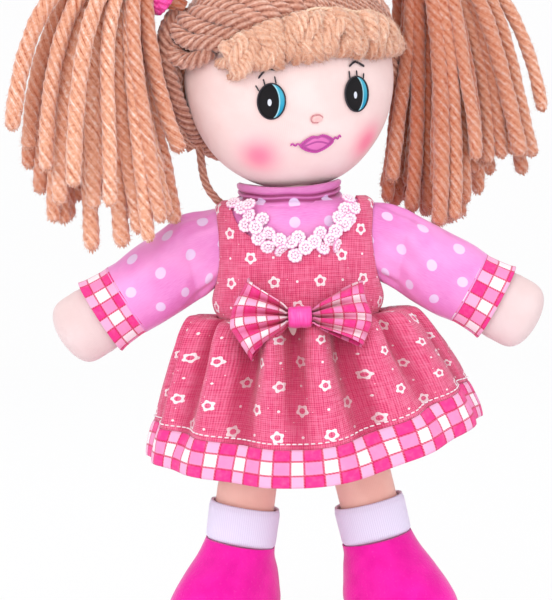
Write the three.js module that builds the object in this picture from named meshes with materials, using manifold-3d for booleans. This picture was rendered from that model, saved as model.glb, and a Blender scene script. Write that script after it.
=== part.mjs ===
// Rag doll: a stuffed cloth doll with yarn pigtails, in a gathered dress over a satin blouse.
// Millimetres, +Z up. It stands on its two soles and faces -Y. Left and right are the doll's own,
// so side -1 is its right (-X) and side +1 its left (+X).
import * as THREE from 'three';
import { mergeVertices } from 'three/addons/utils/BufferGeometryUtils.js';
import Module from 'manifold-3d';

const wasm = await Module();
wasm.setup();

const degree = Math.PI / 180;
const sides = [-1, 1];

// Fits shared by all pieces
const gap = 0.3;
const overrun = 30;
const farReach = 20 * overrun;

// A folded seam's round edge, at which a limb turns: place along it and thickness there
const seamRadius = 3;
const seamShares = [[-0.97, 0.25], [-0.7, 0.72], [0, 1]];

// Heights above the floor
const soleThickness = 3;
const shoeTopHeight = 46;
const sockTopHeight = 66;
const hipHeight = 103;
const waistHeight = 161;
const torsoTopHeight = 218;
const shoulderDrop = 20;
const shoulderHeight = torsoTopHeight - shoulderDrop;
const neckLength = 10;
const neckPivotHeight = torsoTopHeight + neckLength;
const collarRise = 8;
const collarTopHeight = torsoTopHeight + collarRise;

// Torso, a flat stuffed body: rows run from the hip seam to the shoulders
const torsoHalfWidth = 38.8;
const torsoHalfDepth = 23.5;
const torsoSquareness = 2.4;
const torsoRowShares = [
  [0, 0.8, 0.17], [0.035, 0.87, 0.39], [0.11, 0.93, 0.65], [0.22, 0.97, 0.83], [0.36, 0.985, 0.91],
  [0.5, 1, 0.97], [0.68, 1, 1], [0.86, 0.995, 0.985], [0.95, 0.98, 0.92], [0.985, 0.95, 0.8],
  [1, 0.86, 0.64],
];

// Blouse and bodice, cloth layers over the torso
const blouseWall = 1.2;
const bodiceWall = 1.3;
const necklineHalfWidth = 32;
const necklineRise = 6;
const necklineTopHeight = torsoTopHeight + necklineRise;
const necklineFrontDepth = 27;
const necklineBackDepth = 13;
const necklinePower = 0.75;
const armholeHalfDepth = 13;
const armholeHalfHeight = 22.5;

// Collar, a folded satin band round the neck
const collarHalfWidth = 25.5;
const collarHalfDepth = 19;
const collarWall = 3;
const collarHeight = 14;
const collarLeanX = -1.5;
const collarOuterShares = [[0, 1], [0.35, 1.01], [0.7, 1], [0.93, 0.985], [1, 0.94]];
const collarInnerShares = [[0.97, 1], [0, 1]];

// Neck, a stuffed stub with a round top that the head nods and turns on
const neckRadius = 9;
const neckBallRadius = 12;
const neckFlareShare = 1.05;

// Head, a round flattened cushion
const headHalfWidth = 54.5;
const headHalfDepth = 38;
const headHalfHeight = 56;
const headCentreRise = 53;
const headCentreX = 3;
const headTurn = 19 * degree;
const headTilt = -3.3 * degree;

// Embroidered face
const stitchThickness = 0.7;
const patchEdgeShare = 0.5;
const patchShoulderShare = 0.6;
const eyeHalfWidth = 7.2;
const eyeHalfHeight = 9.3;
const eyeX = 22.4;
const eyeZ = -10.7;
const noseHalfWidth = 3.3;
const noseHalfHeight = 2;
const noseZ = -21.3;
const mouthHalfWidth = 8.9;
const mouthHalfHeight = 4;
const mouthZ = -33;
const lipNotchShare = 0.28;
const lipNotchSharpness = 12;
const lipPower = 1.5;

// Hair
const hairThickness = 7;
const hairlineShares = [
  [1.6, -0.68], [0.8, -0.68], [0.45, -0.5], [0.2, -0.27], [0.1, -0.15], [-0.05, 0.14],
  [-0.5, 0.28], [-0.75, 0.33], [-0.87, 0.4], [-0.94, 0.46], [-1, 0.53], [-1.6, 0.56],
  [-1.6, -1.5], [1.6, -1.5],
];

// Fringe, a roll of short yarns across the forehead: rows are place across, rise and size
const fringeHalfHeight = 11.5;
const fringeHalfDepth = 5;
const fringeZ = 18.5;
const fringeRightX = -42;
const fringeLeftX = 50;
const fringeRestShare = 0.8;
const fringeRowShares = [
  [0, -0.77, 0.4], [0.04, -0.72, 0.66], [0.12, -0.5, 0.85], [0.2, -0.26, 0.92], [0.3, -0.12, 0.97],
  [0.42, 0.02, 1.02], [0.58, 0.04, 1.02], [0.7, -0.07, 0.93], [0.8, -0.1, 0.96], [0.91, -0.2, 0.88],
  [0.97, -0.32, 0.68], [1, -0.4, 0.4],
];

// Pigtails, bunches of thick strands that fall from a satin tie
const tieElevation = 37 * degree;
const rootRadius = 6;
const coreRadius = 7;
const coreLength = 22;
const tieOuterRadius = 10.5;
const tieWidth = 9;
const tieFromRoot = 10;
const tieEdgeRound = 1;
const strandRadius = 4.2;
const strandTipShare = 0.55;
const strandStartShare = 0.84;
const strandFanShare = 0.4;
const strandSwingShare = 0.5;
const strandFallShare = 0.42;
const strandLowLiftShare = 0.23;
const strandHighLiftShare = 0.4;
const strandTuck = 4;
const strandSides = 5;
const strandSteps = 5;
const pigtailReach = 141;
const pigtailDrop = 80;
const pigtailSpread = 21;
// One strand a row: reach outward, fall below the head's middle and place front to back
const strandShares = [
  [0.44, 0.77, -0.3], [0.47, 0.8, 0.5], [0.5, 0.86, -0.9], [0.53, 0.84, 0.1], [0.57, 0.9, 0.9],
  [0.6, 0.92, -0.4], [0.63, 0.93, -1], [0.66, 0.92, 0.4], [0.7, 0.96, -0.1], [0.73, 0.9, 1],
  [0.76, 0.9, -0.8], [0.79, 0.86, 0.3], [0.82, 0.78, -0.4], [0.85, 0.76, 0.8], [0.87, 0.66, -0.9],
  [0.91, 0.58, 0], [0.94, 0.46, -0.6], [0.96, 0.38, 0.6], [0.99, 0.22, -0.1], [0.72, 0.62, -1],
];

// Arms, flat stuffed limbs that hang from a seam at the armhole
const armLength = 90;
const armDroop = 30.5 * degree;
const armHalfHeight = 18.4;
const armHalfDepth = 12.6;
const armSquareness = 2.2;
const armTiltShare = 0.42;
const sleeveEase = 1.9;
const sleeveHemTuck = 0.4;
const sleeveSeamShare = 0.94;
const sleeveRowShares = [0.06, 0.12, 0.2, 0.3, 0.42, 0.53];
const sleeveEndShare = 0.56;
const cuffEndShare = 0.74;
const cuffWall = 1.5;
const cuffFlare = 0.9;
const armRowShares = [
  [0.04, 0.98, 0.22], [0.1, 1, 0.5], [0.17, 1, 0.76], [0.27, 1, 0.94], [0.4, 0.96, 1],
  [0.55, 0.93, 1], [0.68, 0.93, 0.98], [0.76, 0.96, 0.98], [0.83, 0.98, 0.95], [0.9, 0.86, 0.82],
  [0.96, 0.58, 0.55], [0.995, 0.2, 0.2],
];

// Skirt and hem band, one bell of cloth gathered at the waist
const skirtWall = 1.3;
const hemRightX = 80;
const hemLeftX = 91;
const hemFrontY = 60;
const hemBackY = 55;
const hemFrontHeight = 81;
const hemBackHeight = 85;
const hemRightHeight = 92;
const hemLeftHeight = 106;
const hemBandHeight = 16.5;
const gatherDepth = 2.4;
const gathers = 13;
const skirtColumns = 52;
const skirtRows = 7;
const hemRows = 2;
const gatherStartShare = 0.25;
const gatherHemShare = 0.6;
const bellRoundingShare = 0.33;
const bellSidePower = 1.7;
// How far out (side and front) and down the bell has gone, along its length
const bellSideShares = [0, 0.3, 0.5, 0.6, 0.68, 0.76, 0.83, 0.89, 0.95, 1];
const bellFrontShares = [0, 0.05, 0.12, 0.22, 0.34, 0.47, 0.6, 0.74, 0.87, 1];
const bellDropShares = [0, 0.05, 0.14, 0.26, 0.38, 0.5, 0.63, 0.76, 0.88, 1];

// Lace, a chain of crocheted daisies along the neckline
const daisyRadius = 6.6;
const daisyThickness = 1.5;
const daisyPetals = 6;
const daisyPetalShare = 0.2;
const daisyEdgeShare = 0.5;
const daisyShoulderShare = 0.7;
const daisies = 8;
const laceReachShare = 0.91;
const laceCentreDrop = 1.5;

// Bow, two open loops of folded cloth pinched by a satin knot
const bowHalfWidth = 35;
const bowPinchHalfHeight = 4.3;
const bowPinchShare = 0.2;
const bowEndHalfHeight = 20;
const bowHalfDepth = 5.5;
const bowWall = 1.2;
const bowPleatDepth = 1.3;
const bowFlarePower = 0.75;
const bowMiddleShares = [0.14, 0.6, 0.92];
// Along the strip: how far out it has gone, and how far in front of the bow's middle
const bowRouteShares = [
  [0.06, 0.35], [0.2, 0.5], [0.38, 0.8], [0.6, 1], [0.8, 0.95], [0.94, 0.6], [1, 0], [0.93, -0.5],
  [0.75, -0.42], [0.5, -0.4], [0.25, -0.38], [0.06, -0.3],
];
const bowX = 0.7;
const bowRise = 1.5;
const bowZ = waistHeight + bowRise;
const bowTilt = 14 * degree;
const knotHalfWidth = 6;
const knotHalfHeight = 5.7;
const knotHalfDepth = 5.6;
const knotWall = 1.2;
const knotSquareness = 2.6;
const knotEdgeShare = 0.6;
const knotFlatShare = 0.8;

// Legs, stuffed tubes that fold at the hip seam, with knit socks
const hipX = 25;
const rightSplay = 9 * degree;
const leftSplay = 11 * degree;
const legHalfWidth = 15.2;
const legHalfDepth = 13.4;
const legSquareness = 2.1;
const hipSeamHalfWidth = 13.6;
const legSeatDepth = 12;
const legSwellLength = 28;
const legSwellShares = [0.22, 0.5, 0.78, 1];
const legEndRound = 1.5;
const hipSeamShares = [0.92, 0.98, 1];
const sockWall = 1.1;
const sockEdgeRound = 0.5;
const sockSlackShare = 0.14;

// Shoes, plump stuffed feet that turn out, on flat soles
const shoeHalfLength = 33;
const shoeHalfWidth = 24.5;
const shoeCuffWall = 1.6;
const shoeToeOut = 38 * degree;
const shoeForward = 7;
const shoeSquareness = 2.15;
const shoeRowShares = [
  [0, 0.93, 0.92, 1], [0.1, 0.985, 0.98, 1], [0.28, 1, 1, 1], [0.46, 0.93, 0.93, 0.9],
  [0.66, 0.8, 0.83, 0.62], [0.85, 0.63, 0.73, 0.28], [1, 0.53, 0.7, 0],
];
const soleInset = 2.2;

// Cloth and yarn colours
const finish = (color, roughness) => new THREE.MeshStandardMaterial({ color, roughness, metalness: 0 });
const skinCloth = finish(0xf2d6cc, 0.85);
const yarn = finish(0xdcaa82, 0.95);
const satin = finish(0xe886c4, 0.4);
const hotSatin = finish(0xf7379b, 0.35);
const linen = finish(0xdf6080, 0.9);
const gingham = finish(0xf59ac4, 0.8);
const lace = finish(0xf8f0f4, 0.85);
const knit = finish(0xf0edf7, 0.9);
const felt = finish(0xf727a0, 0.95);
const eyeThread = finish(0x14121a, 0.5);
const lipThread = finish(0xb04a8c, 0.6);
const noseThread = finish(0xe09aa8, 0.7);

// Turns a geometry's vertices into one shared set, so that it can be joined and cut.
function welded(geometry) {
  const copy = geometry.clone();
  copy.deleteAttribute('normal');
  copy.deleteAttribute('uv');
  return mergeVertices(copy, 1e-4);
}

function solidOf(geometry) {
  const shared = welded(geometry);
  const vertProperties = new Float32Array(shared.attributes.position.array);
  const triVerts = new Uint32Array(shared.index.array);
  return new wasm.Manifold(new wasm.Mesh({ numProp: 3, vertProperties, triVerts }));
}

function geometryOf(solid) {
  const mesh = solid.getMesh();
  const geometry = new THREE.BufferGeometry();
  geometry.setAttribute('position', new THREE.BufferAttribute(new Float32Array(mesh.vertProperties), 3));
  geometry.setIndex(new THREE.BufferAttribute(new Uint32Array(mesh.triVerts), 1));
  return geometry;
}

const cut = (geometry, ...tools) => geometryOf(
  tools.reduce((left, tool) => left.subtract(solidOf(tool)), solidOf(geometry)));

const join = (...geometries) => geometryOf(
  geometries.slice(1).reduce((whole, next) => whole.add(solidOf(next)), solidOf(geometries[0])));

const common = (geometry, tool) => geometryOf(solidOf(geometry).intersect(solidOf(tool)));

// Skins a stack of rings with as many points each. A looped stack closes on itself like a tyre,
// any other is capped at both ends.
function skin(rings, looped = false) {
  const count = rings[0].length;
  const points = rings.flat();
  const faces = [];
  const last = looped ? rings.length : rings.length - 1;
  for (let row = 0; row < last; row += 1) {
    const next = (row + 1) % rings.length;
    for (let k = 0; k < count; k += 1) {
      const a = row * count + k;
      const b = row * count + (k + 1) % count;
      const c = next * count + (k + 1) % count;
      const d = next * count + k;
      faces.push(a, b, c, a, c, d);
    }
  }
  if (!looped) {
    for (const [row, turn] of [[0, 1], [rings.length - 1, 0]]) {
      const middle = new THREE.Vector3();
      rings[row].forEach((point) => middle.addScaledVector(point, 1 / count));
      const hub = points.push(middle) - 1;
      for (let k = 0; k < count; k += 1) {
        const a = row * count + k;
        const b = row * count + (k + 1) % count;
        faces.push(hub, turn ? b : a, turn ? a : b);
      }
    }
  }
  const volume = faces.reduce((sum, _, at) => (at % 3 ? sum
    : sum + points[faces[at]].dot(points[faces[at + 1]].clone().cross(points[faces[at + 2]]))), 0);
  if (volume < 0) faces.reverse();
  const geometry = new THREE.BufferGeometry().setFromPoints(points);
  geometry.setIndex(faces);
  return geometry;
}

// A ring of points on a superellipse: power 2 is an ellipse, higher is squarer.
function oval(count, halfWidth, halfDepth, power = 2) {
  return Array.from({ length: count }, (_, k) => {
    const angle = (2 * Math.PI * k) / count;
    const [c, s] = [Math.cos(angle), Math.sin(angle)];
    return [halfWidth * Math.sign(c) * Math.abs(c) ** (2 / power),
      halfDepth * Math.sign(s) * Math.abs(s) ** (2 / power)];
  });
}

function levelRing(count, x, y, z, halfWidth, halfDepth, power) {
  return oval(count, halfWidth, halfDepth, power).map(([u, v]) => new THREE.Vector3(x + u, y + v, z));
}

const mix = (from, to, share) => from + (to - from) * share;

function tableAt(table, share) {
  const at = Math.min(Math.max(share, 0), 1) * (table.length - 1);
  const low = Math.min(Math.floor(at), table.length - 2);
  return mix(table[low], table[low + 1], at - low);
}

// A prism between two places along an axis, from an outline in the other two.
function prism(outline, axis, from, to) {
  const shape = new THREE.Shape(outline.map(([u, v]) => new THREE.Vector2(u, v)));
  const geometry = new THREE.ExtrudeGeometry(shape, { depth: to - from, bevelEnabled: false });
  geometry.translate(0, 0, from);
  // A prism along X takes (y, z) outlines and one along Y takes (x, z).
  if (axis === 'x') geometry.rotateX(Math.PI / 2).rotateZ(Math.PI / 2);
  if (axis === 'y') geometry.rotateX(Math.PI / 2);
  return welded(geometry);
}

function piece(parent, name, geometry, material) {
  const mesh = new THREE.Mesh(geometry, material);
  mesh.name = name;
  parent.add(mesh);
  return mesh;
}

const sideName = (stem, side) => `${stem}_${side < 0 ? 'right' : 'left'}`;

// Torso and the clothes that follow its shape
const torsoBottomHeight = hipHeight + seamRadius + gap;
const blouseGrowth = gap + blouseWall;
const bodiceInside = blouseGrowth + gap;
const bodiceGrowth = bodiceInside + bodiceWall;
const torsoSides = 22;

// The torso's rows of height, half width and half depth, grown outward by a cloth's thickness
// and raised by it at the shoulders.
function torsoRows(growth) {
  const height = torsoTopHeight - torsoBottomHeight;
  return torsoRowShares.map(([up, wide, deep]) => {
    const lift = growth * THREE.MathUtils.smoothstep(up, 0.9, 1);
    return [torsoBottomHeight + up * height + lift, torsoHalfWidth * wide + growth,
      torsoHalfDepth * deep + growth];
  });
}

// Half width and half depth of the grown torso at a height.
function torsoSizeAt(z, growth) {
  const rows = torsoRows(growth);
  const found = rows.findIndex((row) => row[0] >= z);
  const k = found < 1 ? rows.length - 1 : found;
  const between = Math.min((z - rows[k - 1][0]) / (rows[k][0] - rows[k - 1][0]), 1);
  return [mix(rows[k - 1][1], rows[k][1], between), mix(rows[k - 1][2], rows[k][2], between)];
}

const torsoForm = (growth) => skin(torsoRows(growth).map(([z, wide, deep]) => (
  levelRing(torsoSides, 0, 0, z, wide, deep, torsoSquareness))));

const slab = (low, high) => {
  const box = new THREE.BoxGeometry(farReach, farReach, high - low);
  return box.translate(0, 0, (low + high) / 2);
};

function necklineTool(depth, yFrom, yTo) {
  const arc = Array.from({ length: 15 }, (_, k) => {
    const angle = (Math.PI * k) / 14;
    return [-necklineHalfWidth * Math.cos(angle),
      necklineTopHeight - depth * Math.sin(angle) ** necklinePower];
  });
  return prism([...arc, [necklineHalfWidth, necklineTopHeight + overrun],
    [-necklineHalfWidth, necklineTopHeight + overrun]].reverse(), 'y', -yTo, -yFrom);
}

function armholeTool(side) {
  const outline = oval(18, armholeHalfDepth, armholeHalfHeight).map(([y, z]) => [y, shoulderHeight + z]);
  const inner = torsoHalfWidth - bodiceGrowth * 2;
  const outer = torsoHalfWidth + overrun;
  return side < 0 ? prism(outline, 'x', -outer, -inner) : prism(outline, 'x', inner, outer);
}

function bodiceGeometry() {
  const shell = cut(common(torsoForm(bodiceGrowth), slab(waistHeight, torsoTopHeight + overrun)),
    torsoForm(bodiceInside));
  return cut(shell, necklineTool(necklineFrontDepth, -torsoHalfDepth - overrun, 0),
    necklineTool(necklineBackDepth, -gap, torsoHalfDepth + overrun), ...sides.map(armholeTool));
}

function blouseGeometry() {
  const shell = cut(common(torsoForm(blouseGrowth), slab(waistHeight + gap, torsoTopHeight + overrun)),
    torsoForm(gap));
  const neckHole = new THREE.CylinderGeometry(neckRadius + 2 * gap, neckRadius + 2 * gap, overrun, 24);
  return cut(shell, neckHole.rotateX(Math.PI / 2).translate(0, 0, torsoTopHeight));
}

function collarGeometry() {
  const bottom = collarTopHeight - collarHeight;
  const ring = ([up, swell], inset) => levelRing(28, collarLeanX, 0, bottom + collarHeight * up,
    collarHalfWidth * swell - inset, collarHalfDepth * swell - inset);
  const outer = collarOuterShares.map((row) => ring(row, 0));
  const inner = collarInnerShares.map((row) => ring(row, collarWall));
  return cut(skin([...outer, ...inner], true), torsoForm(blouseGrowth + gap));
}

function neckGeometry() {
  const base = torsoTopHeight + gap - neckPivotHeight;
  const start = -Math.asin(Math.sqrt(1 - (neckRadius / neckBallRadius) ** 2));
  const dome = Array.from({ length: 7 }, (_, k) => {
    const angle = mix(start, Math.PI / 2, k / 6);
    return new THREE.Vector2(neckBallRadius * Math.cos(angle), neckBallRadius * Math.sin(angle));
  });
  dome[6].x = 0;
  const profile = [new THREE.Vector2(0, base), new THREE.Vector2(neckRadius, base), ...dome];
  return welded(new THREE.LatheGeometry(profile, 18).rotateX(Math.PI / 2));
}

// Bell of the skirt: along 0 is the waist seam and 1 the hem, azimuth 0 is +X.
function bellPoint(azimuth, along) {
  const [c, s] = [Math.cos(azimuth), Math.sin(azimuth)];
  const sideways = Math.abs(c) ** bellSidePower;
  const hemX = c < 0 ? hemRightX : hemLeftX;
  const hemY = s < 0 ? hemFrontY : hemBackY;
  const endZ = s < 0 ? hemFrontHeight : hemBackHeight;
  const hemZ = mix(endZ, c < 0 ? hemRightHeight : hemLeftHeight, sideways);
  const [waistX, waistY] = torsoSizeAt(waistHeight, bodiceGrowth);
  const out = mix(tableAt(bellFrontShares, along), tableAt(bellSideShares, along), sideways);
  const ripple = gatherDepth * Math.sin(gathers * azimuth) * Math.min(1, along / gatherStartShare)
    * mix(1, gatherHemShare, along);
  const power = mix(2 / torsoSquareness, 1, Math.min(1, along / bellRoundingShare));
  return new THREE.Vector3(
    mix(waistX, hemX, out) * Math.sign(c) * Math.abs(c) ** power + ripple * c,
    mix(waistY, hemY, out) * Math.sign(s) * Math.abs(s) ** power + ripple * s,
    mix(waistHeight - gap, hemZ, tableAt(bellDropShares, along)),
  );
}

// The point a wall's thickness inside the bell.
function bellInside(azimuth, along) {
  const turnStep = 0.004;
  const alongStep = 0.024;
  const here = bellPoint(azimuth, along);
  const round = bellPoint(azimuth + turnStep, along).sub(bellPoint(azimuth - turnStep, along));
  const low = Math.min(along + alongStep, 1);
  const high = Math.max(along - alongStep, 0);
  const down = bellPoint(azimuth, low).sub(bellPoint(azimuth, high));
  const inward = round.cross(down).normalize();
  if (inward.x * Math.cos(azimuth) + inward.y * Math.sin(azimuth) > 0) inward.negate();
  return here.addScaledVector(inward, skirtWall);
}

function bellSheet(from, to, rows) {
  const ringAt = (point, row) => Array.from({ length: skirtColumns }, (_, k) => {
    const azimuth = (2 * Math.PI * k) / skirtColumns;
    const drop = waistHeight - bellPoint(azimuth, 1).z;
    const seam = 1 - hemBandHeight / drop;
    return point(azimuth, mix(from(seam, drop), to(seam, drop), row / rows));
  });
  const outer = Array.from({ length: rows + 1 }, (_, row) => ringAt(bellPoint, row));
  const inner = Array.from({ length: rows + 1 }, (_, row) => ringAt(bellInside, rows - row));
  return skin([...outer, ...inner], true);
}

const skirtGeometry = () => bellSheet(() => 0, (seam, drop) => seam - gap / drop, skirtRows);
const hemGeometry = () => bellSheet((seam) => seam, () => 1, hemRows);

// The bodice's front surface at a place across and up the chest.
function bodiceFrontY(x, z, growth) {
  const [halfWidth, halfDepth] = torsoSizeAt(z, growth);
  const room = 1 - Math.min(Math.abs(x) / halfWidth, 0.995) ** torsoSquareness;
  return -halfDepth * room ** (1 / torsoSquareness);
}

// A flat outline laid on the chest and given its thickness outward.
function laidOnChest(outline, x, z) {
  const layers = [[daisyEdgeShare, gap], [1, gap], [1, gap + daisyThickness * daisyShoulderShare],
    [daisyEdgeShare, gap + daisyThickness]];
  return skin(layers.map(([share, growth]) => outline.map(([u, w]) => {
    const [px, pz] = [x + u * share, z + w * share];
    return new THREE.Vector3(px, bodiceFrontY(px, pz, bodiceGrowth + growth), pz);
  })));
}

function laceCentre(share) {
  const angle = Math.PI * mix(1 - laceReachShare, laceReachShare, share);
  const halfWidth = necklineHalfWidth;
  return [-halfWidth * Math.cos(angle), necklineTopHeight - laceCentreDrop * 2
    - (necklineFrontDepth - laceCentreDrop) * Math.sin(angle) ** necklinePower];
}

function daisyGeometry(share) {
  const [x, z] = laceCentre(share);
  const outline = Array.from({ length: daisyPetals * 2 }, (_, k) => {
    const angle = (2 * Math.PI * k) / (daisyPetals * 2);
    const reach = daisyRadius * (1 - daisyPetalShare * (0.5 - 0.5 * Math.cos(daisyPetals * angle)));
    return [reach * Math.cos(angle), reach * Math.sin(angle)];
  });
  return laidOnChest(outline, x, z);
}

function laceGeometry() {
  return join(...Array.from({ length: daisies }, (_, k) => daisyGeometry(k / (daisies - 1))));
}

// One bow loop: the strip runs out along the front, turns at the end and comes back behind.
function bowLoop(side) {
  const strip = 5;
  const last = bowRouteShares.length - 1;
  const rings = bowRouteShares.map(([outShare, deepShare], k) => {
    const before = bowRouteShares[Math.max(0, k - 1)];
    const after = bowRouteShares[Math.min(last, k + 1)];
    const away = new THREE.Vector2((after[0] - before[0]) * bowHalfWidth,
      (after[1] - before[1]) * bowHalfDepth).normalize();
    const flare = Math.max(0, (outShare - bowPinchShare) / (1 - bowPinchShare)) ** bowFlarePower;
    const half = mix(bowPinchHalfHeight, bowEndHalfHeight, flare);
    const pleatShare = Math.min(1, 4 * (1 - outShare)) * outShare;
    const edge = (inset, j) => {
      const level = mix(-1, 1, j / (strip - 1));
      const pleat = bowPleatDepth * pleatShare * Math.cos(level * Math.PI * 2);
      const depth = deepShare * bowHalfDepth + (deepShare > 0 ? pleat : 0) + away.x * inset;
      return new THREE.Vector3(side * (outShare * bowHalfWidth - away.y * inset), -depth, half * level);
    };
    const front = Array.from({ length: strip }, (_, j) => edge(0, j));
    const back = Array.from({ length: strip }, (_, j) => edge(-bowWall, strip - 1 - j));
    return [...front, ...back];
  });
  return skin(rings);
}

function bowGeometry() {
  const [wide, deep, high] = bowMiddleShares;
  const pinch = new THREE.SphereGeometry(1, 14, 8);
  pinch.scale(bowHalfWidth * wide, bowHalfDepth * deep, bowPinchHalfHeight * high);
  return join(bowLoop(-1), bowLoop(1), pinch);
}

// The knot, a band of satin round the pinch.
function knotGeometry() {
  const outline = (grow) => oval(16, knotHalfDepth + grow, knotHalfHeight + grow, knotSquareness);
  const ring = (x, grow) => outline(grow).map(([y, z]) => new THREE.Vector3(x, y, z));
  const [half, flat, edge] = [knotHalfWidth, knotHalfWidth * knotFlatShare, knotWall * knotEdgeShare];
  return skin([ring(-half, edge), ring(-flat, knotWall), ring(flat, knotWall), ring(half, edge),
    ring(half, 0), ring(-half, 0)], true);
}

// Head pieces, in a frame at the head's middle
const socketCentre = new THREE.Vector3(-headCentreX, 0, -headCentreRise);

function headForm(growth, columns = 26, rows = 13) {
  const ball = new THREE.SphereGeometry(1, columns, rows).rotateX(Math.PI / 2);
  return ball.scale(headHalfWidth + growth, headHalfDepth + growth, headHalfHeight + growth);
}

function headGeometry() {
  const socket = new THREE.SphereGeometry(neckBallRadius + 2 * gap, 18, 10);
  const mouthRadius = neckBallRadius + gap;
  const relief = new THREE.CylinderGeometry(mouthRadius, mouthRadius * neckFlareShare, overrun, 20);
  relief.rotateX(Math.PI / 2).translate(0, 0, -overrun / 2);
  return cut(headForm(0), socket.translate(...socketCentre), relief.translate(...socketCentre));
}

function headFrontY(x, z, growth) {
  const [a, b, c] = [headHalfWidth + growth, headHalfDepth + growth, headHalfHeight + growth];
  return -b * Math.sqrt(Math.max(0, 1 - (x / a) ** 2 - (z / c) ** 2));
}

// A stitched patch that lies on the face, a little raised.
function facePatch(outline, x, z) {
  const layers = [[patchEdgeShare, gap], [1, gap], [1, gap + stitchThickness * patchShoulderShare],
    [patchEdgeShare, gap + stitchThickness]];
  return skin(layers.map(([share, growth]) => outline.map(([u, w]) => {
    const [px, pz] = [x + u * share, z + w * share];
    return new THREE.Vector3(px, headFrontY(px, pz, growth), pz);
  })));
}

function lipOutline() {
  return oval(20, mouthHalfWidth, mouthHalfHeight, lipPower).map(([u, w]) => {
    const dip = Math.exp(-lipNotchSharpness * (u / mouthHalfWidth) ** 2);
    return [u, w > 0 ? w - lipNotchShare * mouthHalfHeight * dip : w];
  });
}

function capGeometry() {
  const shell = cut(headForm(gap + hairThickness), headForm(gap));
  const outline = hairlineShares.map(([y, z]) => [y * headHalfDepth, z * headHalfHeight]);
  const reach = headHalfWidth + overrun;
  return cut(shell, prism(outline, 'x', -reach, reach), fringeForm(gap));
}

function fringeForm(growth) {
  const last = fringeRowShares.length - 1;
  const rest = gap + fringeHalfDepth * fringeRestShare;
  return skin(fringeRowShares.map(([across, rise, size], k) => {
    const end = (k === last) - (k === 0);
    const x = mix(fringeRightX, fringeLeftX, across) + end * growth;
    const outline = oval(10, fringeHalfDepth * size + growth, fringeHalfHeight * size + growth);
    return outline.map(([out, up]) => {
      const z = fringeZ + rise * fringeHalfHeight + up;
      return new THREE.Vector3(x, headFrontY(x, z, rest + out), z);
    });
  }));
}

function fringeGeometry() {
  return cut(fringeForm(0), headForm(gap));
}

// A tube of a few flat sides along a route, narrower at its tip.
function strandGeometry(route) {
  const points = route.getPoints(strandSteps);
  const rings = points.map((point, k) => {
    const along = route.getTangent(k / strandSteps);
    const across = new THREE.Vector3(0, 1, 0).cross(along).normalize();
    const over = along.clone().cross(across);
    const tip = k === strandSteps ? strandTipShare : 1;
    return oval(strandSides, strandRadius * tip, strandRadius * tip).map(([u, v]) => point.clone()
      .addScaledVector(across, u).addScaledVector(over, v));
  });
  return skin(rings);
}

const capSurfaceReach = 1 / Math.hypot(Math.cos(tieElevation) / (headHalfWidth + gap + hairThickness),
  Math.sin(tieElevation) / (headHalfHeight + gap + hairThickness));
const rootReach = capSurfaceReach + rootRadius + gap;

// A pigtail in a frame at the middle of its root, where it hinges on the cap.
function pigtailGeometry(side) {
  const away = new THREE.Vector3(side * Math.cos(tieElevation), 0, Math.sin(tieElevation));
  const root = away.clone().multiplyScalar(rootReach);
  const core = new THREE.CylinderGeometry(coreRadius, coreRadius, coreLength, 10);
  core.translate(0, coreLength / 2, 0);
  core.applyQuaternion(new THREE.Quaternion().setFromUnitVectors(new THREE.Vector3(0, 1, 0), away));
  const ball = new THREE.SphereGeometry(rootRadius, 8, 6);
  const start = away.clone().multiplyScalar(coreLength * strandStartShare);
  const nearest = Math.min(...strandShares.map((row) => row[0]));
  const strands = strandShares.map(([out, drop, deep]) => {
    const end = new THREE.Vector3(side * out * pigtailReach, deep * pigtailSpread, -drop * pigtailDrop);
    end.sub(root);
    const length = end.length();
    const from = start.clone().add(new THREE.Vector3(0, deep * coreRadius * strandFanShare, 0));
    const lift = length * mix(strandLowLiftShare, strandHighLiftShare, (out - nearest) / (1 - nearest));
    const first = from.clone().addScaledVector(away, lift);
    first.y += deep * pigtailSpread * strandSwingShare;
    const fall = new THREE.Vector3(side * strandTuck * (1 - out), 0, length * strandFallShare);
    return strandGeometry(new THREE.CubicBezierCurve3(from, first, fall.add(end), end));
  });
  return join(ball, core, ...strands);
}

function tieGeometry(side) {
  const away = new THREE.Vector3(side * Math.cos(tieElevation), 0, Math.sin(tieElevation));
  const [inner, edge] = [coreRadius + gap, tieOuterRadius - tieEdgeRound];
  const profile = [[inner, -0.5], [edge, -0.5], [tieOuterRadius, -0.25], [tieOuterRadius, 0.25],
    [edge, 0.5], [inner, 0.5], [inner, -0.5]];
  const ring = new THREE.LatheGeometry(
    profile.map(([radius, share]) => new THREE.Vector2(radius, share * tieWidth)), 20);
  ring.applyQuaternion(new THREE.Quaternion().setFromUnitVectors(new THREE.Vector3(0, 1, 0), away));
  return welded(ring.translate(...away.multiplyScalar(tieFromRoot)));
}

// Arm sections, in a frame on the hinge line at mid armhole: out is away from the body.
function armRing(along, halfHeight, halfDepth, side, count = 16) {
  const tilt = Math.min(1, Math.max(0, along / (armLength * armTiltShare))) * armDroop;
  const [x, z] = [along * Math.cos(armDroop), -along * Math.sin(armDroop)];
  return oval(count, halfHeight, halfDepth, armSquareness).map(([up, deep]) => new THREE.Vector3(
    side * (x + up * Math.sin(tilt)), deep, z + up * Math.cos(tilt)));
}

function armForm(side, growth) {
  const last = armRowShares[armRowShares.length - 1];
  return skin(armRowShares.map((row) => armRing(row[0] * armLength + (row === last ? growth : 0),
    armHalfHeight * row[1] + growth, armHalfDepth * row[2] + growth, side)));
}

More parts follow.
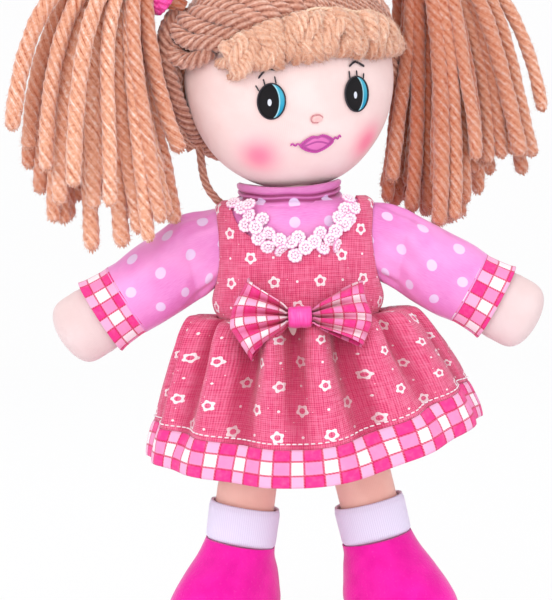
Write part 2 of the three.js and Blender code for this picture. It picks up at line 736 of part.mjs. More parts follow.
function armSizeAt(share) {
  const k = Math.max(1, armRowShares.findIndex((row) => row[0] >= share));
  const [low, high] = [armRowShares[k - 1], armRowShares[k]];
  const between = Math.min(1, Math.max(0, (share - low[0]) / (high[0] - low[0])));
  return [armHalfHeight * mix(low[1], high[1], between), armHalfDepth * mix(low[2], high[2], between)];
}

function sleeveGeometry(side) {
  const ringAt = (share, ease) => {
    const [high, deep] = armSizeAt(share);
    return armRing(share * armLength, high + ease, deep + ease, side);
  };
  const seam = seamShares.map(([out, deep]) => armRing(out * seamRadius,
    (armHalfHeight + sleeveEase) * mix(sleeveSeamShare, 1, deep), seamRadius * deep, side));
  const body = sleeveRowShares.map((share) => ringAt(share, sleeveEase));
  const hem = ringAt(sleeveEndShare, sleeveEase - sleeveHemTuck);
  return cut(skin([...seam, ...body, hem]), armForm(side, gap));
}

function cuffGeometry(side) {
  const from = sleeveEndShare + gap / armLength;
  const rows = [[from, 0], [mix(from, cuffEndShare, 0.5), 0.5], [cuffEndShare, 1]];
  return cut(skin(rows.map(([share, flare]) => {
    const [high, deep] = armSizeAt(share);
    const ease = gap + cuffWall + cuffFlare * flare;
    return armRing(share * armLength, high + ease, deep + ease, side);
  })), armForm(side, gap));
}

// Leg sections, in a frame on the hip hinge line: down is the distance below it.
const legEndHeight = shoeTopHeight - legSeatDepth;

function legForm(side, splay, growth) {
  const slope = side * Math.tan(splay);
  const ring = (down, wide, deep) => levelRing(18, slope * down, 0, -down, wide + growth, deep + growth,
    legSquareness);
  const seam = seamShares.map(([up, deep], k) => ring(up * seamRadius,
    hipSeamHalfWidth * hipSeamShares[k], seamRadius * deep));
  const swell = legSwellShares.map((share) => ring(legSwellLength * share,
    mix(hipSeamHalfWidth, legHalfWidth, share),
    mix(seamRadius, legHalfDepth, Math.sin(share * Math.PI / 2))));
  const length = hipHeight - legEndHeight;
  const tube = [mix(legSwellLength, length, 0.5), length - legEndRound]
    .map((down) => ring(down, legHalfWidth, legHalfDepth));
  const end = ring(length + growth, legHalfWidth - legEndRound, legHalfDepth - legEndRound);
  return skin([...seam, ...swell, ...tube, end]);
}

function sockGeometry(side, splay) {
  const slope = side * Math.tan(splay);
  const middleHeight = mix(shoeTopHeight, sockTopHeight, 0.4);
  const rows = [[shoeTopHeight + gap, 0], [middleHeight, sockSlackShare * sockWall],
    [sockTopHeight - 2 * sockEdgeRound, 0], [sockTopHeight, -sockEdgeRound]];
  return cut(skin(rows.map(([z, more]) => {
    const growth = gap + sockWall + more;
    return levelRing(20, slope * (hipHeight - z), 0, z - hipHeight, legHalfWidth + growth,
      legHalfDepth + growth, legSquareness);
  })), legForm(side, splay, gap));
}

// A shoe section: an oval that turns out with the toes, level with the floor.
function shoeRing(side, splay, up, halfLength, halfWidth, forward) {
  const floorX = side * Math.tan(splay) * (hipHeight - up);
  const turn = side * shoeToeOut;
  const toe = new THREE.Vector2(Math.sin(turn), -Math.cos(turn));
  const across = new THREE.Vector2(-toe.y, toe.x);
  return oval(20, halfWidth, halfLength, shoeSquareness).map(([u, v]) => {
    const ahead = forward - v;
    const [x, y] = [toe.x * ahead + across.x * u, toe.y * ahead + across.y * u];
    return new THREE.Vector3(floorX + x, y, up - hipHeight);
  });
}

function shoeGeometry(side, splay) {
  const bottom = soleThickness + gap;
  const height = shoeTopHeight - bottom;
  const least = legHalfWidth + gap + shoeCuffWall;
  const form = skin(shoeRowShares.map(([up, long, wide, ahead]) => shoeRing(side, splay,
    bottom + up * height, Math.max(shoeHalfLength * long, least), Math.max(shoeHalfWidth * wide, least),
    shoeForward * ahead)));
  return cut(form, legForm(side, splay, gap));
}

function soleGeometry(side, splay) {
  const [, long, wide] = shoeRowShares[0];
  return skin([0, soleThickness].map((up) => shoeRing(side, splay, up, shoeHalfLength * long - soleInset,
    shoeHalfWidth * wide - soleInset, shoeForward)));
}

// The doll
const doll = new THREE.Group();

piece(doll, 'torso', torsoForm(0), skinCloth);
piece(doll, 'blouse', blouseGeometry(), satin);
piece(doll, 'collar', collarGeometry(), satin);
piece(doll, 'dress_bodice', bodiceGeometry(), linen);
piece(doll, 'dress_skirt', skirtGeometry(), linen);
piece(doll, 'hem_band', hemGeometry(), gingham);
piece(doll, 'lace_trim', laceGeometry(), lace);

const bowGroup = new THREE.Group();
const bowRest = bodiceFrontY(0, bowZ, bodiceGrowth) - gap - knotHalfDepth - knotWall;
bowGroup.position.set(bowX, bowRest, bowZ);
bowGroup.rotation.x = -bowTilt;
doll.add(bowGroup);
piece(bowGroup, 'bow', bowGeometry(), gingham);
piece(bowGroup, 'bow_knot', knotGeometry(), hotSatin);

const neckGroup = new THREE.Group();
neckGroup.position.set(0, 0, neckPivotHeight);
neckGroup.rotation.z = headTurn;
doll.add(neckGroup);
piece(neckGroup, 'neck', neckGeometry(), skinCloth);

const tiltGroup = new THREE.Group();
tiltGroup.rotation.y = headTilt;
neckGroup.add(tiltGroup);
const headGroup = new THREE.Group();
headGroup.position.set(headCentreX, 0, headCentreRise);
tiltGroup.add(headGroup);
piece(headGroup, 'head', headGeometry(), skinCloth);
piece(headGroup, 'hair_cap', capGeometry(), yarn);
piece(headGroup, 'fringe', fringeGeometry(), yarn);
for (const side of sides) {
  const outline = oval(16, eyeHalfWidth, eyeHalfHeight);
  piece(headGroup, sideName('eye', side), facePatch(outline, side * eyeX, eyeZ), eyeThread);
}
piece(headGroup, 'nose', facePatch(oval(12, noseHalfWidth, noseHalfHeight), 0, noseZ), noseThread);
piece(headGroup, 'mouth', facePatch(lipOutline(), 0, mouthZ), lipThread);

for (const side of sides) {
  const pigtailGroup = new THREE.Group();
  pigtailGroup.position.set(side * Math.cos(tieElevation), 0, Math.sin(tieElevation));
  pigtailGroup.position.multiplyScalar(rootReach);
  headGroup.add(pigtailGroup);
  piece(pigtailGroup, sideName('pigtail', side), pigtailGeometry(side), yarn);
  piece(pigtailGroup, sideName('hair_tie', side), tieGeometry(side), hotSatin);

  const armGroup = new THREE.Group();
  const armX = torsoHalfWidth + blouseGrowth + gap + seamRadius;
  armGroup.position.set(side * armX, 0, shoulderHeight);
  doll.add(armGroup);
  piece(armGroup, sideName('arm', side), armForm(side, 0), skinCloth);
  piece(armGroup, sideName('sleeve', side), sleeveGeometry(side), satin);
  piece(armGroup, sideName('cuff', side), cuffGeometry(side), gingham);

  const splay = side < 0 ? rightSplay : leftSplay;
  const legGroup = new THREE.Group();
  legGroup.position.set(side * hipX, 0, hipHeight);
  doll.add(legGroup);
  piece(legGroup, sideName('leg', side), legForm(side, splay, 0), skinCloth);
  piece(legGroup, sideName('sock', side), sockGeometry(side, splay), knit);
  piece(legGroup, sideName('shoe', side), shoeGeometry(side, splay), felt);
  piece(legGroup, sideName('sole', side), soleGeometry(side, splay), felt);
}

export default doll;
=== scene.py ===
"""The rag doll's visible cloth, yarn and embroidery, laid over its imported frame.

Sizes are millimetres until a mesh is made. Left and right are the doll's own: side -1 is its
right, on the left of the picture, and side 1 its left. It stands on Z 0 and faces -Y.
"""
import math

import bmesh
import bpy
import numpy as np
from mathutils import Matrix, Vector


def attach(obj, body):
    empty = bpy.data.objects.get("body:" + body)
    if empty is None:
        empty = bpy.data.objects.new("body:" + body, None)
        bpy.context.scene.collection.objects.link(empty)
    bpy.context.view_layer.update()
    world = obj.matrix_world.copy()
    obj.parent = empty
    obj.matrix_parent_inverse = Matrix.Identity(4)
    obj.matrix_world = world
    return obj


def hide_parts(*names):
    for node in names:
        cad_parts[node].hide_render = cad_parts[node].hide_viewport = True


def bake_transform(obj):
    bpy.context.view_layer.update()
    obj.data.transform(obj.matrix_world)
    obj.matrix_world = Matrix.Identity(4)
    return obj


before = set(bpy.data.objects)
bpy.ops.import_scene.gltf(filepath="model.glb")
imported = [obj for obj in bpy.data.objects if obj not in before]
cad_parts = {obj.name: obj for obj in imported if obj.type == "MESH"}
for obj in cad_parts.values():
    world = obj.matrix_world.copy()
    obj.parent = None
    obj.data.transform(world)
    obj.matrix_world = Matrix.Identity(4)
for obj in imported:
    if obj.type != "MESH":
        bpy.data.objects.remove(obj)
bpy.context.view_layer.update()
scene = bpy.context.scene

MM = 0.001
SIDE_WORDS = {-1: "right", 1: "left"}
SIDES = tuple(SIDE_WORDS)
TURN = 2 * math.pi
# Nearly a quarter turn, for edges that round over
ROUND_OVER = 1.57
GAP = 0.3
SEAM_RADIUS = 3
MERGE_DISTANCE = 0.01

# Camera: the picture's frame in pixels, and how the doll sits in it
PICTURE_WIDTH, PICTURE_HEIGHT = 552, 600
FOCAL_PIXELS = 2157
AIM_PIXEL_X = 298
AIM_HEIGHT = 169
CAMERA_DISTANCE = 1100
CAMERA_ELEVATION = math.radians(3.5)
CAMERA_ROLL = math.radians(2.1)
CAMERA_NEAR, CAMERA_FAR = 50, 30000
SENSOR_WIDTH = 36

# Light: a lamp's name, place in metres, size and power
AMBIENT = 0.72
LAMP_AIM_HEIGHT = 0.17
LAMPS = [
    ("key", (-0.5, -1.25, 0.8), 1.0, 7.4),
    ("fill", (1.1, -0.9, 0.6), 1.2, 4.2),
    ("top", (0.1, 0.1, 1.4), 1.0, 4.6),
    ("side", (-1.3, -0.3, 0.5), 1.2, 2.6),
    ("low", (0.1, -1.4, 0.14), 0.8, 2),
]

# Floor and the backdrop that it bends up to
FLOOR_REACH = 4000
FLOOR_DROP = 0.2
FLOOR_GLOW_SHARE = 0.93
BACKDROP_PLACE = 2200
BACKDROP_HEIGHT = 3000
BACKDROP_BEND = 800

# Heights
SOLE_THICKNESS = 3
SHOE_TOP = 46
SOCK_TOP = 66
HIP_HEIGHT = 103
WAIST_HEIGHT = 161
SHOULDER_HEIGHT = 198
TORSO_TOP = 218
NECK_PIVOT = 228
COLLAR_TOP = 230.6

# Torso and the clothes that follow it
TORSO_HALF_WIDTH = 38.8
TORSO_HALF_DEPTH = 23.5
TORSO_SQUARENESS = 2.4
TORSO_ROUNDING = 8
TORSO_COLUMNS = 180
CHEST_ROW = 20
# A row's share of the height, then of the half width and half depth
TORSO_ROW_SHARES = [
    (0, 0.8, 0.17), (0.035, 0.87, 0.39), (0.11, 0.93, 0.65), (0.22, 0.97, 0.83), (0.36, 0.985, 0.91),
    (0.5, 1, 0.97), (0.68, 1, 1), (0.86, 0.995, 0.985), (0.95, 0.98, 0.92), (0.985, 0.95, 0.8),
    (1, 0.86, 0.64),
]
BLOUSE_WALL = 1.2
SATIN_WALL = 0.8
BODICE_WALL = 1.3
NECKLINE_HALF_WIDTH = 32
NECKLINE_TOP = 224
NECKLINE_FRONT_DEPTH = 27
NECKLINE_BACK_DEPTH = 13
NECKLINE_POWER = 0.75
ARMHOLE_HALF_DEPTH = 13
ARMHOLE_HALF_HEIGHT = 22.5
COLLAR_HALF_WIDTH = 26.6
COLLAR_HALF_DEPTH = 19
COLLAR_HEIGHT = 19
COLLAR_DIP = 3.1
COLLAR_LEAN_X = -2.4
COLLAR_FOLD_DEPTH = 1.6
COLLAR_WALL = 1.2
# A crease's height at the back, its drop at the front and its half width
COLLAR_CREASES = [(227, 4.8, 0.9), (224.2, 4.4, 1.05)]
COLLAR_FOOT_SPREAD = 3.9
NECK_RADIUS = 9
NECK_FLARE = 1.5
NECK_REACH = 6

# Head
HEAD_SIZE = np.array([54.5, 38.0, 56.0])
HEAD_UV_RADIUS = 46
HEAD_CENTRE_RISE = 53
HEAD_CENTRE_X = 3
HEAD_TURN = math.radians(19)
HEAD_TILT = math.radians(-3.3)
EYE_HALF_WIDTHS = {-1: 6.7, 1: 7.2}
EYE_HALF_HEIGHT = 8.9
EYE_PLACE = (22.4, -10.7)
NOSE_PLACE = (0, -21.3)
MOUTH_PLACE = (0.4, -33.2)
MOUTH_HALF_WIDTH = 8.9
MOUTH_HALF_HEIGHT = 4.4
MOUTH_SQUARENESS = 1.45
BLUSH_PLACES = [(-27.1, -36.8), (30.9, -35.0)]
BLUSH_RADIUS = 9.5
EMBROIDERY_RISE = 0.9
PATCH_SHARES = [0.02, 0.2, 0.4, 0.6, 0.8, 0.92, 1, 1]
LASHES = {
    -1: [[(-5.5, 5.4), (-6.9, 8.4)], [(-2.6, 7.9), (-3.2, 11.2)], [(2.6, 8.4), (2.2, 12)]],
    1: [[(-3.7, 7.6), (-3.8, 11.6)], [(0.6, 8.6), (0.6, 11.6)], [(4.3, 7.1), (4.9, 10)]],
}
LASH_THREAD_RADIUS = 0.36
BROWS = {
    -1: [(-5.4, 11.6), (-1.2, 15.4), (3.1, 14.8)],
    1: [(-3.5, 13.6), (0.5, 15.6), (5.5, 13.1)],
}
BROW_WIDENING = (0.1, 0.45)
NOSE_HALF_WIDTH = 2.9
NOSE_HALF_HEIGHT = 1.7
NOSE_RISE = 0.5
NOSE_THREAD_RADIUS = 0.28
NOSE_LINE = [(3.1, 0.5), (1, 2), (-2.2, 1.8), (-3.2, 0.2), (-2.4, -1.6), (0.5, -1.9)]
LIP_THREAD_RADIUS = 0.45
LIP_CURLS = [
    [(-8.2, -0.6), (-10, 0.6), (-11.3, -0.3), (-12.6, 0.9), (-13.6, 0)],
    [(8.2, 0.6), (9.8, 2.1), (11, 1.2), (11.9, 2.9), (12.8, 1.9)],
]

# Hair
# Yarns: radius, plies, and the length of one turn of a ply
YARN_RADIUS = 3.9
YARN_PLIES = 5
YARN_PITCH = 29
YARN_STEP = 2.3
PLY_DEPTH_SHARE = 0.12
TUFT_ENDS = 28
TUFT_RADIUS = 0.42
# A frayed end's groove value, above 1, so that it takes the painted highlight colour
TUFT_TONE = 1.5
# Loose fibres: how many times more stand at a pigtail yarn's end, and how fast that fades
END_FLUFF = 7
FLUFF_POWER = 14
FIBRE_LENGTH = 1.6
FIBRE_REACH = 0.3
FIBRE_RADIUS = 0.08
FIBRE_LEAN = 1.1
# A loose fibre's groove value, above 1, so that it takes the painted highlight colour
FIBRE_TONE = 1.3
CAP_WALL = 2.2
CAP_YARN_RADIUS = 3.4
FOREHEAD_SWAGS = 9
TEMPLE_SWAGS = 10
TIE_SWAG_RAISE = 9
BACK_SWAGS = 21
FALL_YARN_RADIUS = 1.4
FALL_YARNS = 25
FRINGE_YARN_RADIUS = 3.0
FRINGE_YARNS = (24, 27, 20)
EDGE_RETREAT_SHARE = 0.14
# The hairline: a height as a share of the head's, and how far forward the cap reaches there
CAP_EDGE_SHARES = [
    (-0.68, 0.8), (-0.5, 0.45), (-0.27, 0.2), (-0.15, 0.1), (0.14, -0.05), (0.28, -0.5),
    (0.33, -0.75), (0.4, -0.87), (0.46, -0.94), (0.53, -1), (0.56, -1.6),
]
# The fringe: a place across the forehead, its lower edge there and its seam
FRINGE_ROWS = [
    (-43, 1, 17.7), (-33, 2.6, 22), (-25, 4.7, 25.6), (-15, 5.8, 27.7), (-4, 7, 30.4),
    (12, 7.3, 30.6), (22, 7.2, 28.2), (32, 6.1, 28.3), (42, 6.3, 26), (51, 7, 20),
]
# Places that a back yarn runs through, from the crown to the nape, for each of its three bends
BACK_SWAG_PLACES = [
    [(0, -18, 49), (0, 12, 53), (0, 34, 24), (0, 37, -14), (0, 30, -34)],
    [(20, -20, 56), (22, 13, 56), (30, 38, 22), (38, 40, -22), (40, 34, -46)],
    [(40, -10, 54), (42, 6, 56), (55, 18, 34), (66, 10, 2), (72, 4, -30)],
]
SIDE_SWAGS = [
    [(-48, 16, -24), (-62, 2, -18), (-64, -4, 4), (-60, -6, 26)],
    [(-46, 24, -22), (-62, 10, -14), (-66, 6, 8), (-60, 2, 30)],
]
WISPS = [
    [(-56, 12, -6), (-60, 10, -18), (-56, 8, -26), (-53, 8, -31)],
    [(-46, 18, -20), (-45, 15, -44), (-49, 15, -50), (-40, 14, -56), (-37.5, 14, -61)],
]
WISP_SHARE = 0.58
# For each row of the fringe: how far it stands off the face, and how high it ends
FRINGE_BULGES = (6.5, 8.5, 10)
FRINGE_DROP_SHARES = (0, 0.02, 0.3)
SEAM_THREAD_RADIUS = 0.9
TIE_ELEVATION = math.radians(37)
TIE_PLACE = np.array([55, 0, 42])
ROOT_RADIUS = 6
CORE_RADIUS = 7
CORE_LENGTH = 22
TIE_OUTER_RADIUS = 10.2
TIE_WIDTH = 10
TIE_FROM_ROOT = 10
PIGTAIL_REACH = 147
PIGTAIL_DROP = 80
PIGTAIL_SPREAD = 22
PIGTAIL_FILL_YARNS = {-1: 17, 1: 20}
HAIR_THICKNESS = 7
# Where a strand ends: its reach outwards, its fall, and its place front to back
STRAND_SHARES = {
    -1: [
        (1, 0.16, -0.4), (0.93, 0.28, 0.2), (0.9, 0.42, -0.5), (0.89, 0.56, 0.8), (0.86, 0.74, 0.4),
        (0.83, 0.53, -1), (0.81, 0.76, 0.5), (0.75, 0.94, 0.2), (0.71, 0.67, -1), (0.65, 0.93, -0.3),
        (0.59, 0.91, -0.8), (0.5, 0.77, -0.3), (0.43, 0.83, 0.4), (0.54, 0.8, -1),
        (0.46, 0.5, 1), (0.44, 0.3, 0.9), (0.48, 0.66, 0.8),
    ],
    1: [
        (0.95, 0.34, 0), (0.8, 0.62, -0.6), (0.87, 0.74, 0.3), (0.77, 0.72, 0.6), (0.68, 0.84, 0.2),
        (0.59, 0.61, -0.9), (0.58, 0.97, -0.4), (0.56, 1.01, 0.2), (0.45, 1.01, -0.8), (0.48, 0.95, 0.4),
        (0.38, 0.91, -0.2), (0.38, 0.87, 0.6), (0.33, 0.83, 0.3), (0.51, 0.98, -0.9),
    ],
}

# Arms, sleeves and cuffs
ARM_LENGTH = 90
ARM_DROOP = math.radians(30.5)
ARM_HALF_HEIGHT = 18.4
ARM_HALF_DEPTH = 12.6
ARM_SQUARENESS = 2.2
ARM_TILT_SHARE = 0.42
# A row's share of the length, then of the half height and half depth
ARM_ROW_SHARES = [
    (0.04, 0.98, 0.22), (0.1, 1, 0.5), (0.17, 1, 0.76), (0.27, 1, 0.94), (0.4, 0.96, 1),
    (0.55, 0.93, 1), (0.68, 0.93, 0.98), (0.76, 0.96, 0.98), (0.83, 0.98, 0.95), (0.9, 0.86, 0.82),
    (0.96, 0.58, 0.55), (0.995, 0.2, 0.2),
]
# Where the arm turns into the hand
HAND_SHARE = 0.8
SLEEVE_EASE = 2.2
SLEEVE_END_SHARE = 0.565
SLEEVE_FULL_SHARE = 0.13
SLEEVE_SEAM_HALF_HEIGHT = 19.6
SLEEVE_SEAM_HALF_DEPTH = 12.4
CUFF_END_SHARE = 0.74
SLEEVE_BEND = 12
CUFF_EASE = 1.7
CUFF_FLARE = 1.1

# Skirt and hem band
SKIRT_WALL = 0.9
HEM_RIGHT_X, HEM_LEFT_X, HEM_FRONT_Y, HEM_BACK_Y = 80, 91, 60, 55
HEM_FRONT_Z, HEM_BACK_Z, HEM_RIGHT_Z, HEM_LEFT_Z = 81, 85, 92, 106
HEM_BAND_HEIGHT = 16.5
# The skirt's reach out at the sides and the front, and its drop, from the waist to the hem
BELL_SIDE_SHARES = [0, 0.3, 0.5, 0.6, 0.68, 0.76, 0.83, 0.89, 0.95, 1]
BELL_FRONT_SHARES = [0, 0.05, 0.12, 0.22, 0.34, 0.47, 0.6, 0.74, 0.87, 1]
BELL_DROP_SHARES = [0, 0.05, 0.14, 0.26, 0.38, 0.5, 0.63, 0.76, 0.88, 1]
BELL_SIDE_POWER = 1.7
GATHERS = 13
GATHER_DEPTH = 2.4
WAIST_CREASE_DEPTH = 5.2
SIDE_PUFF = 6.5
SKIRT_COLUMNS = 420
HEM_WALL = 1.3
# A fold's azimuth and half width in degrees, its depth, and the share of the skirt that it runs down
SKIRT_FOLDS = [
    (-66, 8, 8.5, 0.9), (-121, 8, 8.5, 0.75), (-94, 7, 5.6, 0.7), (-42, 9, 5.4, 0.85),
    (-143, 8, 6.5, 0.9), (-17, 9, 2.4, 0.7), (-163, 8, 2.6, 0.8), (14, 9, 2.4, 0.8), (42, 9, 5, 0.9),
    (68, 7, 3.6, 0.7), (95, 9, 5, 0.9), (121, 8, 4, 0.8), (146, 9, 5, 0.85), (170, 7, 3.6, 0.8),
]
CLOTH_RADIUS = 64
CLOTH_HEIGHT = 74
STITCHES = 150
STITCH_HALF_LENGTH = 1.15
STITCH_RADIUS = 0.34

# Lace, bow and knot
# A disc's two rings: the ring's radius, the radius of its coil, and its loops
PETAL_RINGS = [(2.7, 1.25, 10), (0.95, 0.9, 5)]
LACE_PLACES = [
    (-30.6, 220), (-27.1, 217.4), (-23.2, 219), (-22.6, 213.6), (-24.6, 208.8), (-19.5, 207.6),
    (-16.6, 211.6), (-18.4, 202), (-13.2, 204.4), (-13.4, 197.6), (-8.6, 200.8), (-7.4, 195.6),
    (-2.4, 199.6), (-0.6, 193), (1.4, 201.8), (4.6, 196.6), (8.9, 199.4), (12.1, 203.6),
    (13.4, 196), (17.2, 200.2), (20.8, 196.8), (20.4, 204.2), (24.4, 207.4), (21.8, 210.6),
    (27.6, 209.6), (25.4, 214.8), (29.8, 215.4), (27.4, 220),
]
LACE_LIFT = 0.9
BOW_HALF_WIDTH = 35
BOW_PINCH_HALF_HEIGHT = 3.7
BOW_PINCH_SHARE = 0.2
BOW_RISE = {-1: 21, 1: 18.5}
BOW_FALL = {-1: 21, 1: 16.5}
BOW_CORNER_CUT_SHARES = {-1: (0.26, 0.3), 1: (0.1, 0.1)}
BOW_POINT_SHARES = {-1: -0.2, 1: 0.05}
BOW_CLOTH_HALF_WIDTH = 22
PLEAT_DEPTH = 6
BOW_WALL = 0.7
BOW_HALF_DEPTH = 5.5
BOW_PLACE = (0.7, 162.5)
BOW_TILT = math.radians(14)
# The loop's route seen from above: its reach outwards, and its place front to back
BOW_ROUTE_SHARES = [
    (0.06, 0.35), (0.2, 0.5), (0.38, 0.8), (0.6, 1), (0.8, 0.95), (0.94, 0.6), (1, 0), (0.93, -0.5),
    (0.75, -0.42), (0.5, -0.4), (0.25, -0.38), (0.06, -0.3),
]
KNOT_HALF_WIDTH = 5.9
KNOT_HALF_HEIGHT = 4.3
KNOT_HALF_DEPTH = 5.6
KNOT_WALL = 1.2
KNOT_SQUARENESS = 2.6

# Legs, socks and shoes
HIP_X = 25
SPLAY = {-1: math.radians(9), 1: math.radians(11)}
LEG_HALF_WIDTH = 15.2
LEG_HALF_DEPTH = 13.4
LEG_SQUARENESS = 2.1
HIP_SEAM_HALF_WIDTH = 13.6
LEG_SEAT_DEPTH = 12
LEG_SWELL_LENGTH = 28
SOCK_WALL = 1.4
ANKLE_TILT = 0.21
SHOE_HALF_LENGTH = 33
SHOE_HALF_WIDTH = 24.5
SHOE_CUFF_WALL = 1.6
SHOE_SQUARENESS = 2.15
TOE_OUT = math.radians(38)
SHOE_FORWARD = 7
# A row's share of the height, then of the half length, half width and forward set
SHOE_ROW_SHARES = [
    (0, 0.93, 0.92, 1), (0.1, 0.985, 0.98, 1), (0.28, 1, 1, 1), (0.46, 0.93, 0.93, 0.9),
    (0.66, 0.8, 0.83, 0.62), (0.85, 0.63, 0.73, 0.28), (1, 0.53, 0.7, 0),
]
SHOE_LIP_SHARE = 0.86
SHOE_LIP_DEPTH = 3
SOLE_INSET = 2.2

# Gingham: column period and width, row period and width, and where the first row starts
BAND_CHECKS = (12.6, 7, 13, 6.8, 5)
CUFF_CHECKS = {-1: (13.4, 6.8, 13.8, 6.8, 1.6), 1: (13.4, 6.8, 13.8, 6.8, 12.8)}
BOW_CHECKS = (13.2, 7.2, 11.4, 6.4, 2.4)
CHECK_THREAD = 0.42


# Node graphs

class Socket:
    """An output of a node, used in Python sums with numbers and other outputs."""

    def __init__(self, graph, output):
        self.graph, self.output = graph, output

    def __add__(self, other):
        return self.graph.maths("ADD", self, other)

    def __sub__(self, other):
        return self.graph.maths("SUBTRACT", self, other)

    def __rsub__(self, other):
        return self.graph.maths("SUBTRACT", other, self)

    def __mul__(self, other):
        return self.graph.maths("MULTIPLY", self, other)

    def __truediv__(self, other):
        return self.graph.maths("DIVIDE", self, other)

    def __mod__(self, other):
        return self.graph.maths("FLOORED_MODULO", self, other)

    def __lt__(self, other):
        return self.graph.maths("LESS_THAN", self, other)

    def __gt__(self, other):
        return self.graph.maths("GREATER_THAN", self, other)

    def __abs__(self):
        return self.graph.maths("ABSOLUTE", self)

    __radd__ = __add__
    __rmul__ = __mul__


class Graph:
    """Adds nodes to a tree: a type, its settings, then the values or links of its sockets."""

    def __init__(self, tree):
        self.tree = tree

    def node(self, kind, settings=(), inputs=(), output=0):
        made = self.tree.nodes.new(kind)
        for key, value in dict(settings).items():
            setattr(made, key, value)
        for key, value in dict(inputs).items():
            if isinstance(value, Socket):
                self.tree.links.new(value.output, made.inputs[key])
            else:
                made.inputs[key].default_value = value
        return Socket(self, made.outputs[output])

    def maths(self, operation, *values):
        return self.node("ShaderNodeMath", {"operation": operation}, dict(enumerate(values)))

    def capped(self, value):
        return self.maths("MINIMUM", value, 1)

    def smooth(self, value, low, high):
        return self.node("ShaderNodeMapRange", {"interpolation_type": "SMOOTHSTEP"},
                         {"Value": value, "From Min": low, "From Max": high})


def colour(red, green, blue):
    """A colour picked from the picture, 0 to 255, as the renderer's linear values."""
    def linear(value):
        share = value / 255
        return share / 12.92 if share <= 0.04045 else ((share + 0.055) / 1.055) ** 2.4
    return linear(red), linear(green), linear(blue), 1.0


class Finish(Graph):
    """One material: patterns in millimetres from the piece's UV map, its attributes or its place."""

    def __init__(self, name, **constants):
        self.material = bpy.data.materials.new(name)
        self.material.use_nodes = True
        super().__init__(self.material.node_tree)
        self.shader = self.tree.nodes["Principled BSDF"]
        for key, value in constants.items():
            self.shader.inputs[key.replace("_", " ").title().replace("Ior", "IOR")].default_value = value

    def uv(self):
        parts = self.node("ShaderNodeSeparateXYZ", {}, {0: self.node("ShaderNodeUVMap")})
        return tuple(Socket(self, output) for output in parts.output.node.outputs[:2])

    def place(self):
        return self.node("ShaderNodeTexCoord", output="Object")

    def attribute(self, name, output="Fac"):
        return self.node("ShaderNodeAttribute", {"attribute_name": name}, output=output)

    def point(self, x, y, z=0.0):
        return self.node("ShaderNodeCombineXYZ", {}, {0: x, 1: y, 2: z})

    def noise(self, vector, scale, detail):
        return self.node("ShaderNodeTexNoise", {}, {"Vector": vector, "Scale": scale, "Detail": detail})

    def chance(self, x, y):
        return self.node("ShaderNodeTexWhiteNoise", {"noise_dimensions": "2D"},
                         {"Vector": self.point(x, y)}, output="Value")

    def waves(self, value, period):
        """Soft ridges from 0 to 1, a period apart."""
        return self.maths("SINE", value * (TURN / period)) * 0.5 + 0.5

    def weave(self, u, v, thread_width):
        """Plain weave seen from above, 0 in its holes and 1 on its threads."""
        across = self.maths("SINE", u * (math.pi / thread_width))
        along = self.maths("SINE", v * (math.pi / thread_width))
        return (across * across + along * along) * 0.5

    def distance(self, x, y):
        return self.maths("SQRT", x * x + y * y)

    def staggered(self, spacing, row_height):
        """The column and row of a pattern in staggered rows, and the place across and up its cell."""
        u, v = self.uv()
        row = self.maths("FLOOR", v / row_height)
        column = u / spacing + (row % 2) * 0.5
        return column, row, (column % 1 - 0.5) * spacing, (v / row_height % 1 - 0.5) * row_height

    def blend(self, share, low, high):
        return self.node("ShaderNodeMix", {"data_type": "RGBA"}, {0: share, 6: low, 7: high}, output=2)

    def done(self, base, height, bump_depth, roughness=None, strength=1.0):
        """Sends the pattern to the shader. The bump's height runs from 0 to 1, its depth in mm."""
        bump = self.node("ShaderNodeBump", {}, {"Height": height, "Distance": bump_depth * MM,
                                                "Strength": strength})
        for key, value in (("Base Color", base), ("Roughness", roughness), ("Normal", bump)):
            if value is not None:
                self.tree.links.new(value.output, self.shader.inputs[key])
        return self.material


# Materials

def jersey(name, base, shade):
    """Fine stretch jersey with faint wales and soft mottling, pink where the cheeks are blushed."""
    made = Finish(name, roughness=0.85, sheen_weight=0.25, sheen_roughness=0.5, specular_ior_level=0.2)
    u, v = made.uv()
    wales, courses = made.waves(u, 0.9), made.waves(v, 0.7)
    mottle = made.noise(made.place(), 60, 3)
    cloth = made.blend(made.smooth(mottle, 0.3, 0.7) * 0.7, base, shade)
    cloth = made.blend(wales * courses * 0.12, cloth, colour(255, 240, 235))
    cloth = made.blend(made.attribute("blush") * 0.85, cloth, colour(250, 110, 150))
    return made.done(cloth, wales * 0.6 + courses * 0.4, 0.05)


def plied_yarn(name, valley, middle, light, ply_shade):
    """Thick plied wool: painted shade between the plies, painted highlight on their backs, with loose
    fibres.
    """
    made = Finish(name, roughness=0.95, sheen_weight=0.6, sheen_roughness=0.45, specular_ior_level=0.15)
    groove = made.attribute("groove")
    spun = made.node("ShaderNodeVectorMath", {"operation": "MULTIPLY_ADD"},
                     {0: made.attribute("spin", "Vector"), 1: (7, 7, 0),
                      2: made.point(0, 0, made.attribute("along") * 160)})
    fibres = made.noise(spun, 1, 4)
    fluff = made.noise(made.place(), 700, 4)
    drift = made.noise(made.place(), 60, 3)
    mixed = (groove - 0.5) * ply_shade + (fibres - 0.5) * 0.6 + (fluff - 0.5) * 0.6 + 0.5
    body = made.blend(made.smooth(mixed, 0.16, 0.52), valley, middle)
    body = made.blend(made.smooth(mixed, 0.48, 0.84), body, light)
    body = made.blend(made.smooth(drift, 0.35, 0.75) * 0.35, body, middle)
    # Painted shade: the tone attribute darkens a strand towards the valley colour.
    body = made.blend(made.attribute("tone") * 0.9, body, valley)
    return made.done(body, fluff * 0.55 + fibres * 0.3 + groove * 0.15, 0.8, strength=0.8)


